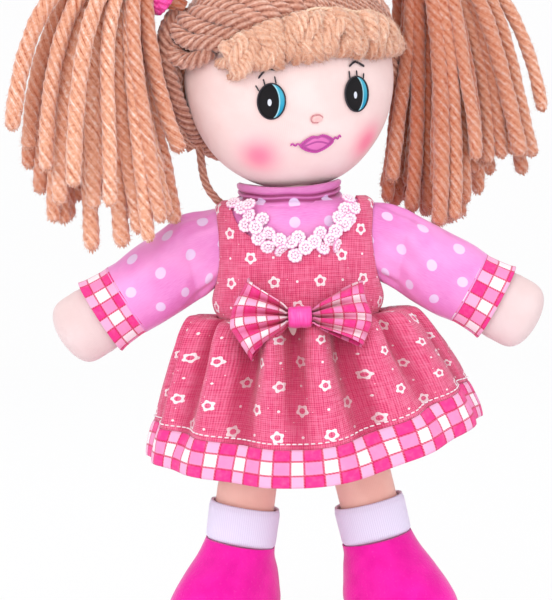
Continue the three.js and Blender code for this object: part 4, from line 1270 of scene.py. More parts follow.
def skirt_gathers(azimuth, along):
    """The even gathers, with sharp small creases close under the waist."""
    fine = 0.35 * np.sin(2 * azimuth + 1) + 0.25 * np.sin(3 * azimuth)
    crease = 0.5 - np.abs(np.sin((GATHERS + 8) * azimuth / 2 + 3 * fine)) ** 0.7
    near_waist = np.exp(-along * 2.6) * np.minimum(1, along * 14)
    even = GATHER_DEPTH * np.sin(GATHERS * azimuth) * np.minimum(1, along * 4) * mix(1, 0.6, along)
    loose = 1.6 * np.sin(7 * azimuth + 2 * fine) * np.sin(along * 2.6)
    return even + WAIST_CREASE_DEPTH * crease * near_waist + loose


def bell(azimuth, along):
    """A point on the skirt: azimuth 0 is +X, along is 0 at the waist and 1 at the hem."""
    c, s = np.cos(azimuth), np.sin(azimuth)
    sideways = np.abs(c) ** BELL_SIDE_POWER
    hem_x = np.where(c < 0, HEM_RIGHT_X, HEM_LEFT_X)
    hem_y = np.where(s < 0, HEM_FRONT_Y, HEM_BACK_Y)
    hem_z = mix(np.where(s < 0, HEM_FRONT_Z, HEM_BACK_Z),
                np.where(c < 0, HEM_RIGHT_Z, HEM_LEFT_Z), sideways)
    waist_x, waist_y = torso_size(WAIST_HEIGHT, BODICE_GROWTH)
    out = mix(table_at(BELL_FRONT_SHARES, along), table_at(BELL_SIDE_SHARES, along), sideways)
    power = mix(2 / TORSO_SQUARENESS, 1, np.minimum(1, along * 3))
    ripple = skirt_gathers(azimuth, along)
    for fold in SKIRT_FOLDS:
        ripple = ripple + skirt_fold(azimuth, along, *fold)
    puff = SIDE_PUFF * sideways * bump_at(along, 0.12, 0.09)
    x = mix(waist_x, hem_x, out) * np.sign(c) * np.abs(c) ** power + ripple * c
    y = mix(waist_y, hem_y, out) * np.sign(s) * np.abs(s) ** power + ripple * s
    z = mix(WAIST_HEIGHT - GAP, hem_z, table_at(BELL_DROP_SHARES, along)) + puff
    return stacked(x, y, z)


def bell_seam(azimuth):
    """How far along the bell the hem band starts."""
    return 1 - HEM_BAND_HEIGHT / (WAIST_HEIGHT - bell(azimuth, np.ones_like(azimuth))[..., 2])


def smoothed(grid, times):
    """Softens a grid's kinks along its columns, keeping both ends."""
    for _ in range(times):
        grid[1:-1] = 0.5 * grid[1:-1] + 0.25 * (grid[:-2] + grid[2:])
    return grid


def hollows(grid, spread, deep):
    """How far a ring of points lies inside its own average outline, as a share of a depth."""
    radius = np.hypot(grid[..., 0], grid[..., 1])
    average = sum(np.roll(radius, k, axis=1) for k in range(-spread, spread + 1)) / (2 * spread + 1)
    return np.clip((average - radius) / deep, 0, 1)


SKIRT_TURNS = around(SKIRT_COLUMNS) + TURN / 4
SKIRT_SEAM = bell_seam(SKIRT_TURNS)


def skirt_uv(share, height):
    """UV in mm of a strip of the skirt, from its upper edge down."""
    across = np.linspace(-0.5, 0.5, SKIRT_COLUMNS + 1) * TURN * CLOTH_RADIUS
    return stacked(across[None, :], -(share * height))


def make_skirt():
    share = np.linspace(0, 1, 60)[:, None]
    grid = smoothed(bell(SKIRT_TURNS + 0 * share, share * SKIRT_SEAM), 6)
    skirt = lofted("gathered_skirt", grid, LINEN, skirt_uv(share, CLOTH_HEIGHT))
    # The shade attribute paints shade into the hollows of the folds.
    skirt = walled(with_attribute(skirt, "shade", hollows(grid, 22, 3.6)), SKIRT_WALL)
    handed(skirt, "torso", "dress_linen", "dress_skirt")


def make_hem():
    """The gingham band, folded over the skirt's lower edge, so thickest at the middle of its height."""
    share = np.linspace(0, 1, 14)[:, None]
    fold = 0.9 * np.sqrt(np.clip(np.sin(share * math.pi), 0, 1)) + 0.2
    grid = bell(SKIRT_TURNS + 0 * share, mix(SKIRT_SEAM, 1, share)) + outward(SKIRT_TURNS) * fold[..., None]
    band = walled(lofted("gingham_hem", grid, GINGHAM, skirt_uv(share, HEM_BAND_HEIGHT)), HEM_WALL)
    handed(band, "torso", "gingham", "hem_band")


def make_stitching():
    """White running stitches just above the hem band."""
    azimuth = around(STITCHES)
    above = bell_seam(azimuth) - 0.028
    place = bell(azimuth, above)
    heading = bell(azimuth + 0.01, above) - place
    facing = unit(np.cross(heading, place - bell(azimuth, above + 0.02)))
    facing *= np.sign((facing * outward(azimuth)).sum(1))[:, None]
    run = np.linspace(-STITCH_HALF_LENGTH, STITCH_HALF_LENGTH, 7)
    route = stacked(run, 0.0, 0.3 * np.cos(np.linspace(-1.5, 1.5, 7)))
    pattern = thread_piece("stitch", [route], STITCH_RADIUS, WHITE_THREAD)
    stitches = scattered("hem_stitching", pattern, place + facing * 0.15, facing, heading, WHITE_THREAD)
    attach(stitches, "torso")


def petal_pattern():
    """A crocheted disc: two coiled rings of close loops."""
    steps, sides = 36, 8
    angle = around(steps)[:, None]
    round_ring = around(sides)[None, :]
    rings = []
    for major, minor, loops in PETAL_RINGS:
        ridge = 0.5 + 0.5 * np.cos(loops * angle)
        reach = minor * (0.78 + 0.26 * ridge)
        x = (major + reach * np.cos(round_ring)) * np.cos(angle)
        y = (major + reach * np.cos(round_ring)) * np.sin(angle)
        grid = stacked(x, y, 0.75 * reach * np.sin(round_ring) + 0.25 * (2.6 - major))
        grid = np.concatenate([grid, grid[:1]])
        ring = lofted("petal", grid, CROCHET)
        # Painted pink shade on the coil's underside and between its loops, stored as the ridge value.
        shade = (np.concatenate([ridge, ridge[:1]]) * 0.55 + 0.45) * np.sin(round_ring).clip(0, 1)
        rings.append(with_attribute(ring, "ridge", shade))
    return facing_out(joined("petal", rings), merged=True)


def make_lace():
    """A chain of crocheted discs sewn along the neckline, each a little off its place and tipped."""
    maker = np.random.default_rng(11)
    x, z = np.array(LACE_PLACES).T
    count, step = len(x), 0.5
    x = x + maker.normal(0, 0.3, count)
    lift = BODICE_GROWTH + LACE_LIFT
    y = chest_y(x, z, lift) - maker.uniform(0, LACE_LIFT, count)
    slope_x = (chest_y(x + step, z, lift) - chest_y(x - step, z, lift)) / (2 * step)
    slope_z = (chest_y(x, z + step, lift) - chest_y(x, z - step, lift)) / (2 * step)
    facing = unit(stacked(slope_x, -1.0, slope_z) + maker.normal(0, 0.26, (count, 3)))
    spin = maker.uniform(0, TURN, count)
    heading = stacked(np.cos(spin), 0.0, np.sin(spin))
    lace = scattered("crochet_lace", petal_pattern(), stacked(x, y, z), facing, heading, CROCHET)
    handed(lace, "torso", "lace_thread", "lace_trim")


# Bow

def bow_frame():
    rest = chest_y(0.0, BOW_PLACE[1], BODICE_GROWTH) - GAP - KNOT_HALF_DEPTH - KNOT_WALL
    return matrix_of(Matrix.Translation((BOW_PLACE[0], rest, BOW_PLACE[1])),
                     Matrix.Rotation(-BOW_TILT, 4, "X"))


def bow_corner_cut(side, level, reach):
    """The share of its reach that the loop loses towards its upper and lower corners."""
    point = BOW_POINT_SHARES[side]
    top_cut, low_cut = BOW_CORNER_CUT_SHARES[side]
    above = np.clip((level - point) / (1 - point), 0, 1) ** 1.3
    below = np.clip((point - level) / (1 + point), 0, 1) ** 1.3
    return (top_cut * above + low_cut * below) * reach ** 2


def bow_pleats(side, level, reach):
    """The pleats' backs, from 0 in a valley to 1 on a ridge, and how far the cloth swells there."""
    fade = np.clip((1.05 - reach) * 1.8, 0.15, 1) * np.clip(reach * 5, 0, 1)
    backs = np.abs(np.sin((level * 1.6 + 0.25 * side + 0.3 * level * reach) * math.pi)) ** 0.75
    small = np.cos(level * 6.3 * math.pi + side) * (1 - reach)
    return backs, (backs - 0.55) * PLEAT_DEPTH * fade + 0.7 * small * fade


def bow_loop(side):
    """A strip that runs out along the front, turns at the end and comes back behind, pleated."""
    rows, columns = 90, 81
    steps = np.arange(len(BOW_ROUTE_SHARES))
    share = np.linspace(0, steps[-1], rows)
    reach, deep = (smooth_at(steps, values, share)[:, None] for values in np.array(BOW_ROUTE_SHARES).T)
    level = np.linspace(-1, 1, columns)[None, :]
    flare = np.clip((reach - BOW_PINCH_SHARE) / (1 - BOW_PINCH_SHARE), 0, 1) ** 0.75
    end_height = np.where(level > 0, BOW_RISE[side], BOW_FALL[side]) * np.where(deep > 0, 0.93, 1)
    backs, swell = bow_pleats(side, level, reach)
    bulge = 1.6 * (1 - level ** 2) * np.clip(reach * 2, 0, 1)
    span = reach * (1 - bow_corner_cut(side, level, reach))
    x = side * (span * BOW_HALF_WIDTH + 0.9 * np.cos(level * 4 + side) * reach)
    y = -(deep * (BOW_HALF_DEPTH + bulge) + swell * np.where(deep > 0, 1, 0.4))
    grid = stacked(x, y, level * mix(BOW_PINCH_HALF_HEIGHT, end_height, flare))
    uv = stacked(level * BOW_CLOTH_HALF_WIDTH, lengths(grid[:, columns // 2])[:, None])
    piece = lofted("loop", turned(grid, bow_frame()), BOW_GINGHAM, uv, looped=False)
    # Painted shade in the pleats' valleys, near the knot and on the back half of the loop.
    shade = (1 - backs) ** 0.7 * (1 - 0.45 * reach) + np.clip(0.42 - reach, 0, 1) * 1.5
    shade = shade + 0.35 * (deep < 0)
    return walled(with_attribute(piece, "shade", np.clip(shade, 0, 1)), BOW_WALL)


def make_bow():
    bow = joined("gingham_bow", [bow_loop(side) for side in SIDES])
    handed(bow, "torso", "gingham", "bow")


def make_knot():
    """A satin turn round the bow's pinched middle, with a few soft creases."""
    across = np.linspace(-1, 1, 26)[:, None]
    angle = around(72)
    rounding = 0.9 * np.sqrt(np.clip(1 - np.abs(across) ** 6, 0, 1))
    fullness = rounding + 0.12 * np.sin(7 * across + 2 * np.sin(angle))
    x = KNOT_HALF_WIDTH * across + 0 * angle
    y, z = oval(angle[None, :], KNOT_HALF_DEPTH + fullness, KNOT_HALF_HEIGHT + fullness, KNOT_SQUARENESS)
    grid = stacked(x, y, z)
    knot = walled(lofted("satin_knot", turned(grid, bow_frame()), HOT_SATIN, measured_uv(grid)), 0.9)
    handed(knot, "torso", "ribbon_satin", "bow_knot")


# Head and face

def on_head(x, z, growth):
    """The face's front surface under a place, in the head's own frame."""
    a, b, c = (HEAD_SIZE[k] + growth for k in range(3))
    y = -b * np.sqrt(np.clip(1 - (np.asarray(x) / a) ** 2 - (np.asarray(z) / c) ** 2, 0, 1))
    return stacked(x, y, z)


def reach_on_head(ways, growth):
    """The head's surface, grown, in given directions from its middle."""
    ways = np.asarray(ways, float)
    sizes = HEAD_SIZE + np.asarray(growth)[..., None]
    return ways / np.linalg.norm(ways / sizes, axis=-1, keepdims=True)


def make_head():
    """The stuffed ball, a little uneven, blushed at both cheeks."""
    rows, columns = 110, 160
    rise = np.linspace(-math.pi / 2, math.pi / 2, rows + 2)[1:-1][:, None]
    angle = around(columns)[None, :]
    ways = stacked(np.cos(rise) * np.cos(angle), np.cos(rise) * np.sin(angle), np.sin(rise) + 0 * angle)
    grid = ways * HEAD_SIZE
    grid += ways * 0.25 * unevenness(grid, 40, 7)[..., None]
    neck_dent = np.clip(1 - np.linalg.norm(grid[..., :2] - [-HEAD_CENTRE_X, 0], axis=-1) / 20, 0, 1)
    grid[..., 2] += 2 * neck_dent ** 1.3 * (grid[..., 2] < 0)
    turn = np.linspace(0, 1, columns + 1)[None, :] * TURN
    uv = stacked(turn * HEAD_UV_RADIUS, rise * HEAD_SIZE[2])
    head = lofted("stuffed_head", turned(grid, HEAD_FRAME), SKIN, uv, capped=True)
    blush = np.zeros(grid.shape[:2])
    for x, z in BLUSH_PLACES:
        far = np.linalg.norm(grid - on_head(x, z, 0), axis=-1)
        blush += np.exp(-(far / BLUSH_RADIUS) ** 2.2) * (grid[..., 1] < 0)
    with_attribute(head, "blush", np.append(blush.ravel(), [0, 0]))
    handed(head, "head", "skin_cloth", "head")


def make_neck():
    angle, up = around(48)[None, :], np.linspace(0, 1, 20)[:, None]
    radius = NECK_RADIUS + NECK_FLARE * (2 * up - 1) ** 2
    x, y = radius * np.cos(angle), radius * np.sin(angle)
    grid = stacked(x, y, mix(TORSO_TOP + GAP, NECK_PIVOT + NECK_REACH, up))
    stub = lofted("stuffed_neck", grid, SKIN, measured_uv(grid), capped=True)
    handed(stub, "neck", "skin_cloth", "neck")


def patch(name, edge, place, raised, material, rim_name=None):
    """A padded patch of satin stitch on the face, from its edge points about its middle."""
    shares = np.array(PATCH_SHARES)
    growth = GAP + raised * np.append(np.sqrt(1 - shares[:-1] ** 4 * 0.9), 0)
    flat = shares[:, None, None] * edge
    x, z = place[0] + flat[..., 0], place[1] + flat[..., 1]
    grid = on_head(x, z, growth[:, None])
    piece = lofted(name, turned(grid, HEAD_FRAME), material, closed(flat), capped=True)
    if rim_name:
        rim = np.broadcast_to(shares[:, None], grid.shape[:2])
        with_attribute(piece, rim_name, np.append(rim.ravel(), [0, 1]))
    return piece


def face_route(points, growth=0.8, count=9):
    """A short smooth route over the face through places across and up it."""
    points = np.asarray(points, float)
    steps = np.arange(len(points))
    where = np.linspace(0, len(points) - 1, count)
    x, z = (smooth_at(steps, points[:, k], where) if len(points) > 2
            else np.interp(where, steps, points[:, k]) for k in (0, 1))
    return turned(on_head(x, z, growth), HEAD_FRAME)


def make_eye(side):
    """A padded eye, with a thread rim, three lashes and a brow."""
    word = SIDE_WORDS[side]
    place = (side * EYE_PLACE[0], EYE_PLACE[1])
    edge = np.stack(oval(around(48), EYE_HALF_WIDTHS[side], EYE_HALF_HEIGHT), axis=1)
    eye = patch(f"stitched_eye_{word}", edge, place, EMBROIDERY_RISE, EYE_STITCH)
    brow = np.array(BROWS[side]) + place
    lines = [face_route(closed(edge) * 0.97 + place, 0.95, 80)]
    lines += [face_route(np.array(lash) + place) for lash in LASHES[side]]
    lines += [face_route(brow), face_route(brow + BROW_WIDENING)]
    threads = thread_piece(f"lashes_{word}", lines, LASH_THREAD_RADIUS, BLACK_THREAD)
    handed(eye, "head", "eye_thread", f"eye_{word}")
    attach(threads, "head")


def make_nose():
    edge = np.stack(oval(around(48), NOSE_HALF_WIDTH, NOSE_HALF_HEIGHT), axis=1)
    nose = patch("stitched_nose", edge, NOSE_PLACE, NOSE_RISE, NOSE_FILLING, "groove")
    line = face_route(np.array(NOSE_LINE) + NOSE_PLACE, 0.7, 20)
    outline = thread_piece("nose_line", [line], NOSE_THREAD_RADIUS, NOSE_THREAD)
    handed(joined("stitched_nose", [nose, outline]), "head", "lip_thread", "nose")


def make_mouth():
    """Leaning lips with a notch above, edged with thread that curls on at both corners."""
    u, w = oval(around(80), MOUTH_HALF_WIDTH, MOUTH_HALF_HEIGHT, MOUTH_SQUARENESS)
    notch = np.where(w > 0, 1.25 * np.exp(-(u / 1.9) ** 2), 0)
    edge = np.stack([u, w + 0.06 * u - notch], axis=1)
    lips = patch("stitched_mouth", edge, MOUTH_PLACE, EMBROIDERY_RISE, LIP_STITCH, "rim")
    lines = [face_route(np.array(curl) + MOUTH_PLACE, 0.8, 24) for curl in LIP_CURLS]
    lines.append(face_route(closed(edge) * 0.98 + MOUTH_PLACE, 0.85, 90))
    threads = thread_piece("lip_line", lines, LIP_THREAD_RADIUS, LIP_THREAD)
    handed(joined("stitched_mouth", [lips, threads]), "head", "lip_thread", "mouth")


# Hair

def tie_frame(side):
    """A tie's directions in the head's own frame: away from the head, to the back, and over."""
    away = np.array([side * math.cos(TIE_ELEVATION), 0, math.sin(TIE_ELEVATION)])
    across = np.array([0.0, 1.0, 0.0])
    return away, across, np.cross(away, across)


HAIR_SIZE = HEAD_SIZE + GAP + HAIR_THICKNESS
HAIR_REACH = 1 / math.hypot(math.cos(TIE_ELEVATION) / HAIR_SIZE[0], math.sin(TIE_ELEVATION) / HAIR_SIZE[2])
ROOT_REACH = HAIR_REACH + ROOT_RADIUS + GAP
FRINGE_X, FRINGE_LOW, FRINGE_SEAM = np.array(FRINGE_ROWS).T


def hairline(rise):
    """How far forward the hair cap reaches on the head at a height, as a share of its depth."""
    heights, shares = np.array(CAP_EDGE_SHARES).T
    return np.interp(rise, heights, shares)


def cap_backing():
    """The cloth under the hair, on the top and back of the head, coloured as yarn in painted shade."""
    rows, columns = 36, 72
    rise = np.linspace(-0.73, math.pi / 2 - 0.02, rows)[:, None]
    share = np.linspace(0, 1, columns)[None, :]
    height = np.sin(rise)
    edge = np.clip(hairline(height) / np.maximum(np.cos(rise), 0.05), -0.999, 0.999)
    start = np.arcsin(np.minimum(edge + EDGE_RETREAT_SHARE, 0.999))
    angle = mix(start, math.pi - start, share)
    ways = stacked(np.cos(rise) * np.cos(angle), np.cos(rise) * np.sin(angle), height + 0 * angle)
    grid = ways * (HEAD_SIZE + GAP + CAP_WALL)
    uv = measured_uv(grid, looped=False)
    piece = lofted("cap_backing", turned(grid, HEAD_FRAME), CAP_BACKING, uv, looped=False)
    return walled(piece, CAP_WALL)


def swag(controls, growth, size, tone, maker):
    """A yarn over the head along a smooth curve of places, wandering a little."""
    ways = bezier(controls, 70)
    points = evenly(reach_on_head(ways, table_at(growth, np.linspace(0, 1, 70))), YARN_STEP)
    run = np.linspace(0, 1, len(points))
    sway = maker.normal(0, 0.5, 3) * np.sin(run * math.pi * maker.uniform(1.5, 3))[:, None]
    thickness = size * np.interp(run, [0, 0.04, 0.78, 1], [0.8, 1, 1, 0.5])
    # Painted shade near both ends of the yarn, added to the tone it is given.
    shade = np.interp(run, [0, 0.06, 0.72, 1], [0.5, 0.05, 0.12, 0.7]) + tone
    return turned(points + sway, HEAD_FRAME), thickness, np.clip(shade, 0, 1)


def forehead_swags(maker):
    """Thick yarns from the doll's right tie to the fringe's seam, double where they stand high."""
    routes = []
    for k in range(FOREHEAD_SWAGS):
        share = k / (FOREHEAD_SWAGS - 1)
        x = mix(-43, 3, share)
        start = on_head(x, np.interp(x, FRINGE_X, FRINGE_SEAM) - 2, 0)
        first = start + mix(np.array([-14, 9, -9]), np.array([-8, 6, 24]), share ** 0.8)
        second = mix(np.array([-66, 5, 18]), np.array([-44, -8, 64]), share ** 0.8)
        controls = [start, first, second, TIE_PLACE * [-1, 1, 1]]
        lift = 4.8 + 1.1 * (k % 2)
        raised = TIE_SWAG_RAISE * max(1 - share * 2.2, 0)
        for under in (0, 0.5) if raised else (0,):
            rise = raised * (1 - under)
            growth = [3.6, lift, lift + rise * 0.6, 4.6 + rise, 4 + rise]
            # The lower yarn of a doubled pair gets painted shade.
            routes.append(swag(controls, growth, 1.16, 0.04 + under * 0.4, maker))
    return routes


def side_swags(maker):
    """Yarns round the side of the face to the doll's right tie."""
    growth = [2.4, 4.6, 5.2 + TIE_SWAG_RAISE * 0.4, 4.8 + TIE_SWAG_RAISE, 4 + TIE_SWAG_RAISE]
    # Painted shade: these yarns round the side of the face get a darker tone.
    return [swag([*bend, TIE_PLACE * [-1, 1, 1]], growth, 1.2, 0.25, maker) for bend in SIDE_SWAGS]


def temple_swags(maker):
    """Yarns from the fringe's far end to the doll's left tie."""
    routes = []
    for k in range(TEMPLE_SWAGS):
        share = k / (TEMPLE_SWAGS - 1)
        start = on_head(mix(50, 14, share), mix(20, 50, share), 0)
        middle = mix(start, TIE_PLACE, 0.5) + [6, -6 * (1 - share), 2]
        routes.append(swag([start, middle, TIE_PLACE], [3, 4.8, 3.5], 1.1, 0.05, maker))
    return routes


def back_swags(side, maker):
    """Yarns from the parting at the back, from the crown to the nape, round to a side's tie."""
    routes = []
    steps = [0, 0.3, 0.6, 0.85, 1]
    tables = [np.array(table) for table in BACK_SWAG_PLACES]
    for k in range(BACK_SWAGS):
        share = k / (BACK_SWAGS - 1)
        controls = [np.array([np.interp(share, steps, table[:, axis]) for axis in range(3)]) * [side, 1, 1]
                    for table in tables]
        controls = [place + maker.normal(0, 1, 3) for place in controls] + [TIE_PLACE * [side, 1, 1]]
        lift = 4.2 + 1.3 * (k % 2)
        routes.append(swag(controls, [3.5, lift, lift, 4.4, 4], 1.08, maker.uniform(0, 0.12), maker))
    return routes


def fall_routes(maker):
    """Fine yarns that hang side by side from the crown to the fringe's seam."""
    routes = []
    for k in range(FALL_YARNS):
        x = mix(-6, 51, k / (FALL_YARNS - 1)) + maker.normal(0, 0.25)
        low = np.interp(x, FRINGE_X, FRINGE_SEAM) - 1.5
        top = 54 - 0.009 * x * x
        heights = np.linspace(top, low, 26)
        growth = np.interp(heights, [low, low + 4, top], [3.2, 4.8, 6.5]) + maker.uniform(-0.3, 0.3)
        points = evenly(on_head(x * (1 - (heights - low) * 0.009), heights, growth), 1.4)
        # Painted shade, strongest at the crown end, with a random part added.
        shade = np.interp(np.linspace(0, 1, len(points)), [0, 0.5, 1], [0.45, 0.15, 0.05])
        routes.append((turned(points, HEAD_FRAME), np.ones(len(points)), shade + maker.uniform(0, 0.15)))
    return routes


def fringe_yarn(x, layer, maker):
    """A short thick yarn end that rolls forward from the fringe's seam and turns under."""
    low, top = np.interp(x, FRINGE_X, FRINGE_LOW), np.interp(x, FRINGE_X, FRINGE_SEAM)
    lean, curl = maker.normal(-1, 5), maker.normal(0, 5.5)
    bulge = FRINGE_BULGES[layer] * np.interp(x, [-43, -36, 40, 52], [0.8, 1, 1, 0.8])
    bulge *= maker.uniform(0.75, 1.15)
    drop = mix(low, top, FRINGE_DROP_SHARES[layer]) + 2.4 + maker.normal(0, 1.3)
    places = [(x, top - 3, 1.5), (x + lean * 0.2, top + 3.2, bulge * 0.75),
              (x + lean * 0.4 + curl, mix(drop, top, 0.7), bulge * 1.2),
              (x + lean * 0.8 - curl, mix(drop, top, 0.3), bulge * 1.15),
              (x + lean, drop - 1.5, bulge * 0.75), (x + lean * 0.9 + curl * 0.3, drop, 2)]
    ground = bezier(places, 30)
    points = evenly(on_head(ground[:, 0], ground[:, 1], ground[:, 2]), 1.3)
    run = np.linspace(0, 1, len(points))
    thickness = np.interp(run, [0, 0.12, 0.85, 1], [0.7, 1, 1.05, 0.8]) * maker.uniform(0.8, 1.12)
    thickness = thickness * (1 + 0.1 * np.sin(run * 9 + maker.uniform(0, TURN)))
    # Painted shade at both ends, where the yarn goes in, with a random part added.
    shade = np.interp(run, [0, 0.2, 0.7, 1], [0.4, 0.05, 0, 0.5]) + maker.uniform(-0.1, 0.22)
    return turned(points, HEAD_FRAME), thickness, np.clip(shade, 0, 1)


def fringe_routes(maker):
    """Tumbled rows of yarn ends, every second row set half a yarn aside."""
    routes = []
    for layer, count in enumerate(FRINGE_YARNS):
        aside = 0.5 * (layer % 2)
        for k in range(count):
            x = mix(FRINGE_X[0] + 2, FRINGE_X[-1] + 1, (k + aside) / (count - 1 + aside))
            routes.append(fringe_yarn(x, layer, maker))
    return routes


def wisp_routes():
    """Thin loose yarns that hang from the back of the cap, beside the doll's right cheek."""
    routes = []
    for wisp in WISPS:
        points = evenly(bezier(wisp, 40), YARN_STEP)
        # Painted shade: the wisps get a darker tone.
        routes.append((turned(points, HEAD_FRAME), np.full(len(points), WISP_SHARE), 0.25))
    return routes


def blunt(points, thickness):
    """A yarn's route with its cut end rounded off."""
    points = np.vstack([points[:-1], mix(points[-2], points[-1], 0.55), points[-1:]])
    thickness = np.append(thickness, thickness[-1])
    thickness[-4:] *= [1, 0.97, 0.84, 0.5]
    return points, thickness


def tufts(routes, radius, maker):
    """Soft fine ends that round off the cut tip of each yarn."""
    made = []
    for points, thickness, tone in routes:
        way = points[-1] - points[-3]
        way /= np.linalg.norm(way)
        across = np.cross(way, [0.2, 0.9, 0.1])
        across /= np.linalg.norm(across)
        over = np.cross(way, across)
        for k in range(TUFT_ENDS):
            angle, share = k * 2.4, math.sqrt((k + 0.5) / TUFT_ENDS)
            out = share * radius * thickness[-4] * 0.85
            aside = math.cos(angle) * across + math.sin(angle) * over
            base = points[-1] - way * (0.6 + 2.2 * share ** 2) + aside * out * 0.85
            reach = way * maker.uniform(1.2, 2.4) + aside * maker.uniform(-0.2, 0.8)
            bend = maker.normal(0, 0.4, 3)
            steps = np.linspace(0, 1, 4)[:, None]
            # The frayed ends get less painted shade than their strand.
            made.append((base + steps * reach + steps ** 2 * bend, np.array([1, 1, 0.9, 0.5]),
                         float(np.clip(np.mean(tone) * 0.4 - 0.1, 0, 1))))
    return made


def make_cap(maker):
    """The backing cloth with its thick yarns, loose wisps and fine yarns over the crown."""
    routes = forehead_swags(maker) + side_swags(maker) + temple_swags(maker)
    for side in SIDES:
        routes += back_swags(side, maker)
    thick = yarns("cap_yarns", routes + wisp_routes(), CAP_YARN_RADIUS, CAP_YARN, pitch=22, plies=5)
    fine = yarns("fall_yarns", fall_routes(maker), FALL_YARN_RADIUS, CAP_YARN, pitch=9, plies=3)
    backing = cap_backing()
    hair = fuzzed(joined("cap_hair", [thick, fine]), 0.06, CAP_YARN)
    handed(joined("yarn_cap", [backing, hair]), "head", "hair_yarn", "hair_cap")


def make_fringe(maker):
    """The roll of short yarn ends, with the thread that sews it on."""
    fringe = yarns("yarn_fringe", fringe_routes(maker), FRINGE_YARN_RADIUS, FRINGE_YARN, pitch=19, plies=5,
                   ply_depth=0.1)
    x = np.linspace(-2, 47, 50)
    height = np.interp(x, FRINGE_X, FRINGE_SEAM) + 0.4 * np.sin(x * 0.4) + 1.4
    route = turned(on_head(x, height, 7.6), HEAD_FRAME)
    seam = thread_piece("fringe_seam", [route], SEAM_THREAD_RADIUS, SEAM_THREAD)
    handed(joined("yarn_fringe", [fuzzed(fringe, 0.56, FRINGE_YARN), seam]), "head", "hair_yarn", "fringe")


def strand_rows(side, maker):
    """Where each strand ends: reach outwards, fall, and front to back, as shares."""
    table = np.array(STRAND_SHARES[side])
    order = table[np.argsort(table[:, 0])]
    rows = [tuple(row) for row in table]
    count = PIGTAIL_FILL_YARNS[side]
    for k in range(count):
        out = mix(order[0, 0], 0.9, (k + maker.uniform(0, 1)) / count)
        drop = np.interp(out, order[:, 0], order[:, 1]) * maker.uniform(0.66, 0.97)
        rows.append((out, drop, maker.uniform(-0.7, 1)))
    return rows


def strand_curve(side, end, deep, nearness, maker):
    """A strand's points from inside the tie, out and over, and down to its end."""
    away, across, over = tie_frame(side)
    length = np.linalg.norm(end)
    bundle = across * deep * CORE_RADIUS * 0.72 + over * (nearness - 0.5) * -side * CORE_RADIUS * 1.1
    start = away * -2.5 + bundle * 0.5
    leave = away * (CORE_LENGTH * 0.84) + bundle * 1.15
    lift = length * mix(0.16, 0.46, nearness)
    first = leave + away * lift + [0, deep * PIGTAIL_SPREAD * 0.5, 0]
    second = end + [side * mix(12, -9, nearness), 0, length * 0.42]
    wander = maker.normal(0, 2, 3) * [1, 0.6, 0.4]
    body = bezier([leave, first + wander, second + maker.normal(0, 2.5, 3) * [1, 0.6, 1], end], 60)
    return evenly(np.vstack([[start], body]), YARN_STEP)


def strand_tone(side, deep, nearness, down):
    """How deep in the bunch's shade a strand lies, along its way down."""
    left = side > 0
    inner = np.clip(1 - np.abs(deep + 0.6) * 0.6 - nearness * 0.7, 0, 1) * (0.55 if left else 0.25)
    inner += np.clip(deep + 0.3, 0, 1) * 0.42 + (0.2 if left else 0)
    return np.interp(down, [0, 14, 40], [0.6, 0.4, 0]) + inner


def pigtail_routes(side, maker):
    """A bunch's strands, thin inside the tie and swinging a little on their way down."""
    root = tie_frame(side)[0] * ROOT_REACH
    routes = []
    for out, drop, deep in strand_rows(side, maker):
        end = np.array([side * out * PIGTAIL_REACH, deep * PIGTAIL_SPREAD, -drop * PIGTAIL_DROP]) - root
        nearness = np.clip((out - 0.4) / 0.58, 0, 1)
        points = strand_curve(side, end, deep, nearness, maker)
        run = np.linspace(0, 1, len(points))
        swing = maker.normal(0, 1.7, 3) * [1, 0.8, 0]
        wave = run ** 1.3 * np.sin(run * maker.uniform(4, 8) + maker.uniform(0, TURN))
        points = points + swing * wave[:, None]
        down = run * np.linalg.norm(end) * 1.15
        thickness = np.interp(down, [0, 12, 30], [0.5, 0.55, 1]) * maker.uniform(0.86, 1.06)
        thickness = thickness * (1 + 0.04 * np.sin(down * 0.35 + maker.uniform(0, TURN)))
        points, thickness = blunt(points, thickness)
        down = np.append(down, down[-1])
        # Painted shade deep in the bunch and near the tie, with a random part, and less of it towards each
        # strand's lower end.
        tone = strand_tone(side, deep, nearness, down) + maker.uniform(-0.1, 0.16)
        tone = tone - 0.12 * np.clip(down / down[-1] * 3 - 2, 0, 1)
        routes.append((turned(points + root, HEAD_FRAME), thickness, np.clip(tone, 0, 1)))
    return routes


def make_pigtail(side):
    word = SIDE_WORDS[side]
    maker = np.random.default_rng(31 + side)
    routes = pigtail_routes(side, maker)
    strands = yarns("strands", routes, YARN_RADIUS, YARN, ply_depth=0.06, end_fluff=END_FLUFF)
    strands = fuzzed(strands, 0.075, YARN)
    frayed = yarns("frayed_ends", tufts(routes, YARN_RADIUS, maker), TUFT_RADIUS, YARN, plies=1, ply_depth=0)
    # Frayed ends get the painted highlight.
    with_attribute(frayed, "groove", TUFT_TONE)
    hair = joined(f"yarn_pigtail_{word}", [strands, frayed])
    handed(hair, f"pigtail_{word}", "hair_yarn", f"pigtail_{word}")


